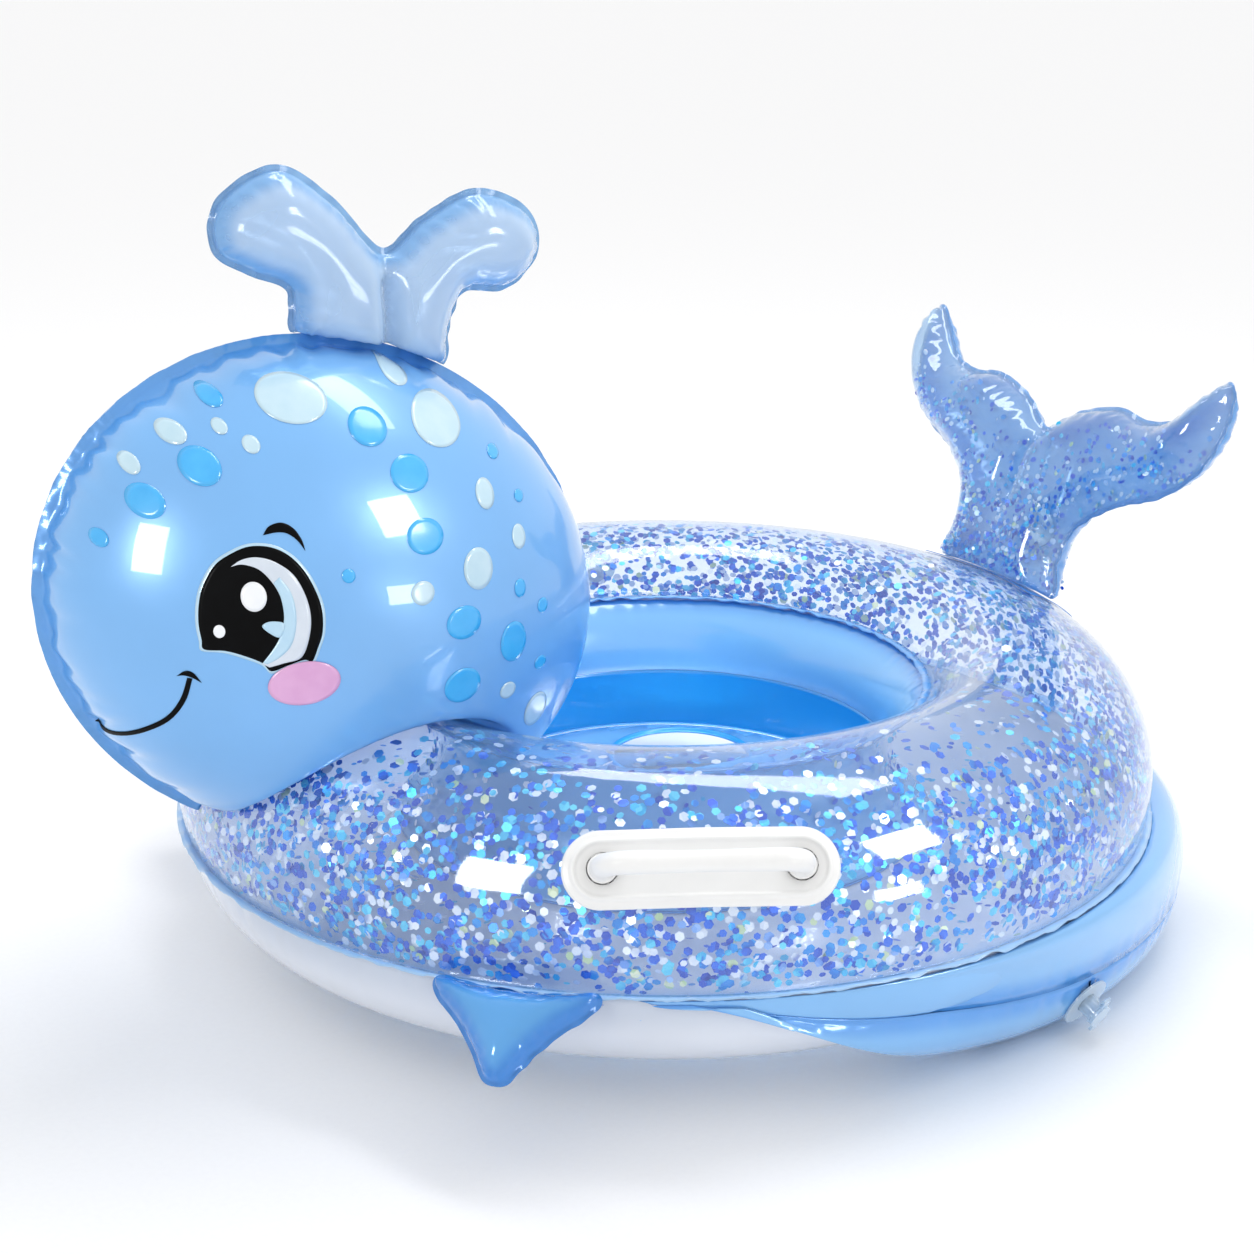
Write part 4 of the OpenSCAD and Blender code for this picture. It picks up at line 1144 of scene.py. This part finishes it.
def pillow(line, fullness, found, rim, put, groove=None, fine=3.0, wave_seed=0, smooth=10):
    """One side of a pillow. put(flat, rise, sway) gives the final points; groove(flat) thins a weld."""
    line = np.asarray(line, dtype=float)
    flat, faces, out = flat_sheet(line, fine)
    inward, along, length = outline_distance(flat, line)
    depth = np.minimum(inward, fullness)
    rise = np.sqrt(np.clip(2 * fullness * depth - depth ** 2, 0, None))
    if groove is not None:
        rise = rise * groove(flat)
    bm = bmesh.new()
    for (x, y), z in zip(flat, np.maximum(rise, 0.35)):
        bm.verts.new((x, y, z))
    bm.verts.ensure_lookup_table()
    for face in faces:
        bm.faces.new([bm.verts[k] for k in face])
    free = [vert for vert in bm.verts if vert.co.z > 9.0]
    for _ in range(smooth):
        bmesh.ops.smooth_vert(bm, verts=free, factor=0.5, use_axis_z=True)
    edges = [edge for edge in bm.edges if edge.is_boundary]
    made = bmesh.ops.extrude_edge_only(bm, edges=edges)["geom"]
    for vert in [part for part in made if isinstance(part, bmesh.types.BMVert)]:
        nearest = int(np.argmin(np.hypot(line[:, 0] - vert.co.x, line[:, 1] - vert.co.y)))
        vert.co.x += out[nearest, 0] * rim
        vert.co.y += out[nearest, 1] * rim
    flat = np.array([vert.co[:2] for vert in bm.verts])
    rise = np.array([vert.co.z for vert in bm.verts])
    inward, along, length = outline_distance(flat, line)
    edge = np.array([vert.is_boundary for vert in bm.verts])
    skin = (rise > 0.36) & ~edge
    dent = np.where(skin, gathered(found, length, along, inward), 0.0)
    rise = np.where(skin, np.maximum(rise - dent, 0.36), rise)
    sway = np.where(edge, 0.9 * wobble(wave_seed, length, along, 11), 0.0)
    layer = bm.verts.layers.float.new("seam")
    near = np.where(edge, 1.0, smooth_step(1 - inward / 12.0))
    for vert, point, seam in zip(bm.verts, put(flat, rise, sway), near):
        vert.co = point
        vert[layer] = float(seam)
    return bm


# %% The spout
SPOUT_FOOT = np.array([-206.0, 321.0])
SPOUT_SHAPE = [(-46, 14), (-48, 40), (-72, 52), (-92, 66), (-88, 92), (-54, 108), (-22, 88), (10, 55), (38, 72),
               (72, 86), (104, 74), (112, 50), (92, 30), (62, 30), (50, 6), (46, -14), (10, -8), (-30, 4)]
spout_line = loop_of(SPOUT_SHAPE, 14)
SPOUT_CREASES = creases(51, 640, (7, 13), (4, 8), (8, 20), (1.2, 3.6))


def spout_groove(flat):
    low = np.clip((58 - flat[:, 1]) / 20.0, 0, 1)
    return 1 - 0.8 * low * np.exp(-((flat[:, 0] - 10 + 0.05 * flat[:, 1]) / 5.0) ** 2)


def off_head(points, off):
    """Pushes points out of the head's egg."""
    fore = (points[:, 1] - HEAD_Y) * math.cos(HEAD_TIP) - (points[:, 2] - HEAD_Z) * math.sin(HEAD_TIP)
    high = (points[:, 2] - HEAD_Z) * math.cos(HEAD_TIP) + (points[:, 1] - HEAD_Y) * math.sin(HEAD_TIP)
    deep = np.sqrt((points[:, 0] / (HEAD_W + off)) ** 2 + (fore / (HEAD_L + off)) ** 2
                   + (high / (HEAD_H + off)) ** 2)
    grow = np.maximum(1.0, 1.0 / np.maximum(deep, 1e-6))
    fore, high = fore * grow, high * grow
    return np.stack([points[:, 0] * grow, HEAD_Y + fore * math.cos(HEAD_TIP) + high * math.sin(HEAD_TIP),
                     HEAD_Z + high * math.cos(HEAD_TIP) - fore * math.sin(HEAD_TIP)], -1)


def spout_put(side):
    def put(flat, rise, sway):
        points = np.stack([side * rise + sway, SPOUT_FOOT[0] + flat[:, 0], SPOUT_FOOT[1] + flat[:, 1]], -1)
        return off_head(points, FLANGE_W + 1.0)
    return put


for side, name in ((1, "left"), (-1, "right")):
    bm = pillow(spout_line, 25.0, SPOUT_CREASES, 3.5, spout_put(side), spout_groove, 2.6)
    finish_piece(bm, "spout_film_" + name, spout_film, ["spout_panel_" + name],
                 core=lambda point: Vector((0.0, point.y, point.z)))

# %% The tail
TAIL_HALF = [(58, -4), (53, 22), (60, 50), (92, 74), (130, 90), (156, 114), (166, 146), (160, 170), (146, 160),
             (124, 138), (96, 131), (66, 134), (30, 124)]
tail_line = loop_of([(0, -6)] + TAIL_HALF + [(0, 106)] + [(-x, s) for x, s in reversed(TAIL_HALF)], 14)
TAIL_LEAN = math.radians(20)
TAIL_Y = RING_R + HALF_W * 0.43
TAIL_Z = float(ring_height(np.array([[0.0, TAIL_Y, 0.0]]), 2.3)[0])
TAIL_UP = np.array([0.0, math.sin(TAIL_LEAN), math.cos(TAIL_LEAN)])
TAIL_FACE = np.array([0.0, -math.cos(TAIL_LEAN), math.sin(TAIL_LEAN)])
TAIL_CREASES = creases(61, 1150, (7, 14), (4, 8), (8, 24), (1.2, 3.6))


def tail_groove(flat):
    return 1 - 0.75 * np.clip((112 - flat[:, 1]) / 20.0, 0, 1) * np.clip((flat[:, 1] - 30) / 30.0, 0, 1) \
        * np.exp(-(flat[:, 0] / 6.0) ** 2)


def tail_put(side):
    def put(flat, rise, sway):
        points = (np.array([0.0, TAIL_Y, TAIL_Z]) + flat[:, 0:1] * np.array([1.0, 0.0, 0.0])
                  + flat[:, 1:2] * TAIL_UP + (side * rise + sway)[:, None] * TAIL_FACE)
        points[:, 2] = np.maximum(points[:, 2], ring_height(points, 2.0))
        return points
    return put


def tail_core(point):
    up = (point.y - TAIL_Y) * TAIL_UP[1] + (point.z - TAIL_Z) * TAIL_UP[2]
    return Vector((point.x, TAIL_Y + TAIL_UP[1] * up, TAIL_Z + TAIL_UP[2] * up))


TAIL_FULL = 26.0
for side, name, material, slot in ((1, "front", tail_film, "clear_film"),
                                   (-1, "back", tail_back_film, "royal_blue_film")):
    bm = pillow(tail_line, TAIL_FULL, TAIL_CREASES, 3.5, tail_put(side), tail_groove, 3.0)
    finish_piece(bm, "tail_film_" + name, material, ["tail_panel_" + name], core=tail_core)

# %% Glitter inside the tail
TAIL_FLAKES = 1100
dice = random.Random(65)
low_x, high_x = tail_line[:, 0].min(), tail_line[:, 0].max()
tries = []
while len(tries) < TAIL_FLAKES * 9:
    tries.append((dice.uniform(low_x, high_x), dice.uniform(0, 165)))
tries = np.array(tries)
turns = winding(tries, tail_line)
inside, _, _ = outline_distance(tries, tail_line)
spots = []
for (x, s), turn, inward in zip(tries, turns, inside):
    if abs(turn) < 3.0 or inward < 8.0 or abs(x) > 138 or len(spots) >= TAIL_FLAKES:
        continue
    floor_line = 20 + 0.62 * abs(x)
    settled = math.exp(-max(0.0, s - floor_line) / 20.0)
    if dice.random() > 0.03 + 0.97 * settled:
        continue
    depth = min(inward, TAIL_FULL)
    rise = (math.sqrt(2 * TAIL_FULL * depth - depth ** 2)) * float(tail_groove(np.array([[x, s]]))[0])
    side = 1 if dice.random() < 0.62 else -1
    level = side * max(0.0, rise - dice.uniform(2.2, 4.6))
    spot = tail_put(1)(np.array([[x, s]]), np.array([level]), 0.0)[0]
    spots.append((spot, leaning(dice, TAIL_FACE, 0.3), dice.uniform(0, 6.28), dice.uniform(1.3, 2.4)))
lay_in_colours("tail_glitter_", spots, "tail_glitter")

# %% The fins
FIN_AT, FIN_DROP, FIN_OUT = math.radians(45.6), math.radians(41), OUTER_SEAM[0] + FLANGE_W - 1.0
FIN_SHAPE = [(-46, -3.5), (-24, -1), (0, 0), (24, -1), (46, -3.5), (44, 6), (29, 20), (16, 36), (7, 50), (0, 53),
             (-7, 50), (-16, 36), (-29, 20), (-44, 6)]
fin_line = loop_of([(x, s + 2) for x, s in FIN_SHAPE], 9)
FIN_CREASES = creases(71, 260, (7, 12), (4, 7), (6, 16), (0.9, 2.6))
fin_az = np.array([math.sin(FIN_AT), -math.cos(FIN_AT), 0.0])
fin_side = np.array([math.cos(FIN_AT), math.sin(FIN_AT), 0.0])
fin_way = fin_az * math.cos(FIN_DROP) - np.array([0.0, 0.0, math.sin(FIN_DROP)])
fin_face = np.cross(fin_side, fin_way)


def fin_put(face, mirror):
    def put(flat, rise, sway):
        points = (fin_az * FIN_OUT + flat[:, 0:1] * fin_side + flat[:, 1:2] * fin_way
                  + (face * rise + sway)[:, None] * fin_face)
        return points * np.array([mirror, 1.0, 1.0])
    return put


def fin_core(mirror):
    centre = (fin_az * FIN_OUT + fin_way * 18) * np.array([mirror, 1.0, 1.0])
    return lambda point: Vector(centre)


for mirror, side in ((1, "left"), (-1, "right")):
    for face, level in ((1, "upper"), (-1, "lower")):
        bm = pillow(fin_line, 17.0, FIN_CREASES, 2.0, fin_put(face, mirror), None, 2.2)
        finish_piece(bm, f"fin_{level}_film_{side}", royal_film, [f"fin_{level}_{side}"],
                     core=fin_core(mirror))

# %% [markdown]
# ## The bumper
#
# A second tube runs round the rear half under the outer seam. It tapers to nothing at both
# ends, where it is welded to the ring, and its two panels meet along its outer line.

# %% The bumper's panels
BUMPER_R, BUMPER_BACK, BUMPER_W, BUMPER_H = 306.0, 56.0, 49.0, 45.0
BUMPER_Z = BUMPER_H - 3.0 - SEAM_H
BUMPER_END = math.radians(130)
belly_points = np.array(belly)
belly_half = np.linalg.norm(belly_points[-1] - belly_points[0]) / 2
BELLY_SAG = 60.0
BELLY_R = (belly_half ** 2 + BELLY_SAG ** 2) / (2 * BELLY_SAG)
belly_way = (belly_points[-1] - belly_points[0]) / (2 * belly_half)
BELLY_MID = ((belly_points[0] + belly_points[-1]) / 2
             + np.array([-belly_way[1], belly_way[0]]) * (BELLY_R - BELLY_SAG))
BUMPER_LENGTH = 2 * BUMPER_END * BUMPER_R
BUMPER_CREASES = creases(81, BUMPER_LENGTH, (11, 24), (7, 13), (12, 40), (0.5, 2.0))
RIM_CREASES = creases(82, BUMPER_LENGTH, (10, 22), (7, 12), (12, 36), (0.5, 2.2))


def off_belly(points, off):
    """Pushes points out of the round arc of the ring's belly."""
    rho = np.hypot(points[:, 0], points[:, 1])
    away = np.stack([rho, points[:, 2]], -1) - BELLY_MID
    far = np.linalg.norm(away, axis=1)
    reach = BELLY_R + off
    moved = np.where((far < reach)[:, None], BELLY_MID + away * (reach / np.maximum(far, 1e-6))[:, None],
                     np.stack([rho, points[:, 2]], -1))
    return np.stack([points[:, 0] * moved[:, 0] / rho, points[:, 1] * moved[:, 0] / rho, moved[:, 1]], -1)


def bumper_line(s, upper, gap, count):
    """A cross-line of a panel at s, -1 to 1 along the bumper, its points spread evenly."""
    turn = BUMPER_END * s
    way = np.array([math.sin(turn), math.cos(turn)])
    lean = BUMPER_BACK * way[1]
    seam_r = -lean + math.sqrt(lean ** 2 + (OUTER_SEAM[0] + 2.0) ** 2 - BUMPER_BACK ** 2)
    outer, weld = np.array([BUMPER_R, BUMPER_Z]), np.array([seam_r, -2.2])
    inner = np.array([BUMPER_R - 2 * BUMPER_W, BUMPER_Z])
    if upper:
        rear = smooth_step((way[1] + 0.2) / 1.0)
        rise, top = outer + (3.0, 26.0), weld + (14.0 + 10.0 * rear, 2.0 + 9.0 * rear)
        t = np.linspace(0, 1, 90)[:, None]
        crown = (1 - t) ** 3 * outer + 3 * (1 - t) ** 2 * t * rise + 3 * (1 - t) * t * t * top + t ** 3 * weld
        section = np.vstack([crown, weld + (inner - weld) * np.linspace(0.02, 1, 60)[:, None]])
    else:
        angle = np.linspace(0, math.pi, 150)
        section = np.stack([BUMPER_R - BUMPER_W + BUMPER_W * np.cos(angle),
                            BUMPER_Z - BUMPER_H * np.sin(angle)], -1)
    size = max(0.03, float(smooth_step((1 - abs(s)) / 0.42)) ** 0.8)
    line = np.stack([section[:, 0] * way[0], BUMPER_BACK + section[:, 0] * way[1], section[:, 1]], -1)
    rho = np.hypot(line[:, 0], line[:, 1])
    away = np.stack([rho, line[:, 2]], -1) - BELLY_MID
    start = np.array([OUTER_SEAM[0] + 2.0, -2.2]) - BELLY_MID
    first = math.atan2(start[1], start[0])
    reach, angle = np.hypot(away[:, 0], away[:, 1]), np.arctan2(away[:, 1], away[:, 0])
    reach = BELLY_R + gap + np.maximum(0.0, reach - BELLY_R - gap) * size
    angle = first + (angle - first) * size
    near = BELLY_MID + np.stack([reach * np.cos(angle), reach * np.sin(angle)], -1)
    line = np.stack([line[:, 0] * near[:, 0] / rho, line[:, 1] * near[:, 0] / rho,
                     np.maximum(near[:, 1], -SEAM_H + 0.2)], -1)
    run = np.concatenate([[0], np.cumsum(np.linalg.norm(np.diff(line, axis=0), axis=1))])
    even = np.linspace(0, run[-1], count)
    return np.stack([np.interp(even, run, line[:, k]) for k in range(3)], -1), even, run[-1]


BUMPER_COLUMNS, BUMPER_ROWS = 620, 34


def bumper_panel(upper, gap, found):
    def place(u, v):
        column, row = np.rint(u * BUMPER_COLUMNS).astype(int), np.rint(v * BUMPER_ROWS).astype(int)
        points, near = np.zeros((len(u), 3)), np.zeros(len(u))
        for k in range(BUMPER_COLUMNS + 1):
            t = 2 * k / BUMPER_COLUMNS - 1
            s = 0.5 * t + 0.5 * math.sin(math.pi / 2 * t)
            full = float(smooth_step((1 - abs(s)) / 0.1))
            line, even, whole = bumper_line(s, upper, gap, BUMPER_ROWS + 1)
            at = np.full(len(even), (s + 1) / 2 * BUMPER_LENGTH)
            dent = (gathered(found, BUMPER_LENGTH, at, even)
                    + gathered(RIM_CREASES, BUMPER_LENGTH, at, whole - even)) * full ** 2
            turn = BUMPER_END * s
            middle = np.array([(BUMPER_R - BUMPER_W) * math.sin(turn),
                               BUMPER_BACK + (BUMPER_R - BUMPER_W) * math.cos(turn), BUMPER_Z])
            inward = middle - line
            inward /= np.maximum(np.linalg.norm(inward, axis=1), 1e-6)[:, None]
            line = off_belly(line + inward * dent[:, None], gap)
            line[:, 2] = np.maximum(line[:, 2], -SEAM_H + 0.2)
            here = column == k
            points[here], near[here] = line[row[here]], smooth_step(1 - even[row[here]] / 22.0)
        return points, near
    return shaped_grid(BUMPER_COLUMNS, BUMPER_ROWS, place, closed=False)


def bumper_core(point):
    flat = Vector((point.x, point.y - BUMPER_BACK, 0)).normalized() * (BUMPER_R - BUMPER_W)
    return Vector((flat.x, flat.y + BUMPER_BACK, BUMPER_Z))


for name, is_upper, off in (("upper", True, 1.6), ("lower", False, 2.8)):
    finish_piece(bumper_panel(is_upper, off, BUMPER_CREASES), f"bumper_{name}_film", bumper_film,
                 ["bumper_panel_" + name], core=bumper_core)

# %% [markdown]
# ## Weld patches
#
# Head and tail are welded to the ring through small patches of film.

# %% The weld patches
def weld_patch(name, middle, spread, first, last, material, node):
    def place(u, v):
        azimuth = np.radians(middle + (u - 0.5) * spread)
        rho, up = on_tube(np.radians(first + (last - first) * v), 1.0)
        # painted shade: the whole patch takes most of the darker weld colour
        return np.stack([rho * np.cos(azimuth), rho * np.sin(azimuth), up], -1), 0.8
    bm = shaped_grid(80, 30, place, closed=False)
    return finish_piece(bm, name, material, [node], wall=0.5, core=tube_core)


weld_patch("head_patch_film", -90, 38, 58, 118, pearl_film, "head_weld_patch")
weld_patch("tail_patch_film", 90, 27, 48, 74, royal_film, "tail_weld_patch")

# %% [markdown]
# ## Handles
#
# Each handle is one soft moulding: a stadium-shaped base that hugs the ring, with a raised
# rim, and a round grip on two feet. The base is a line of nested rings, from the middle of
# its underside round its edge to the middle of its top, dropped onto the ring's skin.

# %% The handle's place on the ring
HANDLE_AT, PLATE_MID = math.radians(64 - 90), math.radians(33)
handle_rho, handle_up = on_tube(PLATE_MID)
HANDLE_P = np.array([handle_rho, 0.0, handle_up])
HANDLE_N = np.array([math.cos(PLATE_MID) / HALF_W, 0.0, math.sin(PLATE_MID) / HALF_H])
HANDLE_N /= np.linalg.norm(HANDLE_N)
HANDLE_SIDE = np.array([0.0, 1.0, 0.0])
HANDLE_LOW = np.cross(HANDLE_SIDE, HANDLE_N)


def at_handle(along, across, height, hug, mirror):
    """Points from the handle's own measures; hug 1 lays them on the skin, 0 keeps them flat."""
    base = HANDLE_P + along[:, None] * HANDLE_SIDE + across[:, None] * HANDLE_LOW
    drop = np.zeros(len(along))
    for _ in range(14):
        trial = base + drop[:, None] * HANDLE_N
        rho = np.hypot(trial[:, 0], trial[:, 1])
        drop -= (np.hypot((rho - RING_R) / HALF_W, (trial[:, 2] - MID_UP) / HALF_H) - 1) * 80.0
    points = base + (drop * hug + height)[:, None] * HANDLE_N
    turn = HANDLE_AT
    out = np.stack([points[:, 0] * math.cos(turn) - points[:, 1] * math.sin(turn),
                    points[:, 0] * math.sin(turn) + points[:, 1] * math.cos(turn), points[:, 2]], -1)
    return out * np.array([mirror, 1.0, 1.0])


PLATE_L, PLATE_W = 155.0, 44.0
PLATE_PROFILE = [(22.0, 0.35), (8.0, 0.35), (0.6, 0.35), (0.0, 0.9), (0.0, 1.9), (0.5, 2.6), (1.6, 2.9), (3.2, 2.9),
                 (4.2, 3.1), (4.8, 3.9), (5.5, 4.5), (6.4, 4.5), (7.2, 3.9), (7.8, 3.0), (9.0, 2.75), (14.0, 2.75),
                 (22.0, 2.75)]


def plate(mirror):
    profile = np.array(PLATE_PROFILE)

    def place(u, v):
        inset = np.interp(v, np.linspace(0, 1, len(profile)), profile[:, 0])
        height = np.interp(v, np.linspace(0, 1, len(profile)), profile[:, 1])
        radius = np.maximum(PLATE_W / 2 - inset, 0.0)
        turn = 2 * np.pi * u
        straight = (PLATE_L - PLATE_W) / 2
        across, along = radius * np.cos(turn), radius * np.sin(turn) + np.sign(np.sin(turn)) * straight
        flat_side = np.abs(np.sin(turn)) < 1e-9
        along = np.where(flat_side, 0.0, along)
        return at_handle(along, across, height, 1.0, mirror), 0.0
    return shaped_grid(160, len(PLATE_PROFILE) - 1, place)


GRIP_R, GRIP_UP, GRIP_HALF, CORNER = 6.5, 26.0, 55.0, 15.0


def grip_path(t):
    """Along and height of the grip's middle line, with t from -1 to 1, and its direction."""
    leg, bend, half = GRIP_UP - CORNER, CORNER * math.pi / 2, GRIP_HALF - CORNER
    total = leg + bend + half
    far = np.abs(t) * total
    on_bar, on_bend = far < half, (far >= half) & (far < half + bend)
    turn = np.clip((far - half) / CORNER, 0, math.pi / 2)
    along = np.where(on_bar, far, half + CORNER * np.sin(turn))
    height = np.where(on_bar, GRIP_UP, GRIP_UP - CORNER + CORNER * np.cos(turn))
    height = np.where(on_bar | on_bend, height, leg - (far - half - bend))
    return along * np.sign(t), height, np.where(on_bar, 0.0, turn) * np.sign(t)


def grip(mirror):
    def place(u, v):
        t = v * 2 - 1
        along, height, turn = grip_path(t)
        foot = np.clip(1 - height / 9.0, 0, 1)
        radius = GRIP_R + 2.6 * foot ** 2 - 0.5 * (np.abs(t) < 0.45) * np.cos(np.clip(t / 0.45, -1, 1) * np.pi / 2)
        around = 2 * np.pi * u
        side, out = radius * np.cos(around), radius * np.sin(around) * np.where(np.abs(t) < 0.5, 0.94, 1.0)
        drop = np.where(height < 8, -1.2 * foot, 0.0)
        points_along = along + out * np.sin(turn)
        points_height = height + out * np.cos(turn) + drop
        return at_handle(points_along, side, np.maximum(points_height, 2.2), 0.0, mirror), 0.0
    bm = shaped_grid(36, 96, place, closed=True)
    for edge_loop in [[e for e in bm.edges if e.is_boundary]]:
        bmesh.ops.holes_fill(bm, edges=edge_loop, sides=0)
    return bm


for mirror, side in ((1, "left"), (-1, "right")):
    finish_piece(plate(mirror), "handle_base_" + side, handle_pvc, ["handle_plate_" + side], wall=0)
    finish_piece(grip(mirror), "handle_bar_" + side, handle_pvc, ["handle_grip_" + side], wall=0)

# %% [markdown]
# ## Valves
#
# The valves keep their CAD shapes, which are already turned parts: a base welded to the film,
# a hollow stem, a flap inside it and a plug on a strap. They take the clear moulded PVC.

# %% Dress the valves
for name in ("ring", "head", "tail", "bumper"):
    for part in ("base", "stem", "flap", "plug"):
        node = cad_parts[f"{name}_valve_{part}"]
        node.data.materials.clear()
        node.data.materials.append(valve_pvc)
print("valves dressed")

# %% [markdown]
# ## Holes for the valves
#
# Each stem passes through a round hole in its film, hidden under the valve's welded base.
# The hole's edge stays well inside the base's 17 mm flange.

# %% Cut the film under each valve
VALVES = [
    # film, where the valve's axis meets it in mm, the axis outward
    ("ring_top_film", (-300.15, 138.15, 147.87), (-0.8905, 0.3241, 0.3194)),
    ("head_film_right", (-84.34, -92.67, 258.81), (-0.8363, 0.5461, 0.0478)),
    ("tail_film_back", (0.0, 343.59, 230.35), (0.0, 0.8697, -0.4936)),
    ("bumper_lower_film", (291.13, 159.65, 24.28), (0.8716, 0.2238, -0.4362)),
]
HOLE_R, HOLE_DEEP = 0.0125, 0.02       # metres: less than the flange, and only this side of the pillow
for film, spot, way in VALVES:
    piece, spot, way = bpy.data.objects[film], Vector(spot) / 1000.0, Vector(way)
    bm = bmesh.new()
    bm.from_mesh(piece.data)
    under = []
    for face in bm.faces:
        reach = face.calc_center_median() - spot
        if abs(reach.dot(way)) < HOLE_DEEP and (reach - way * reach.dot(way)).length < HOLE_R:
            under.append(face)
    print(film, len(under), "faces cut")
    bmesh.ops.delete(bm, geom=under, context="FACES")
    bm.to_mesh(piece.data)
    bm.free()
bpy.data.objects["ring_top_film"].visible_shadow = False     # clear film hardly shades what it holds
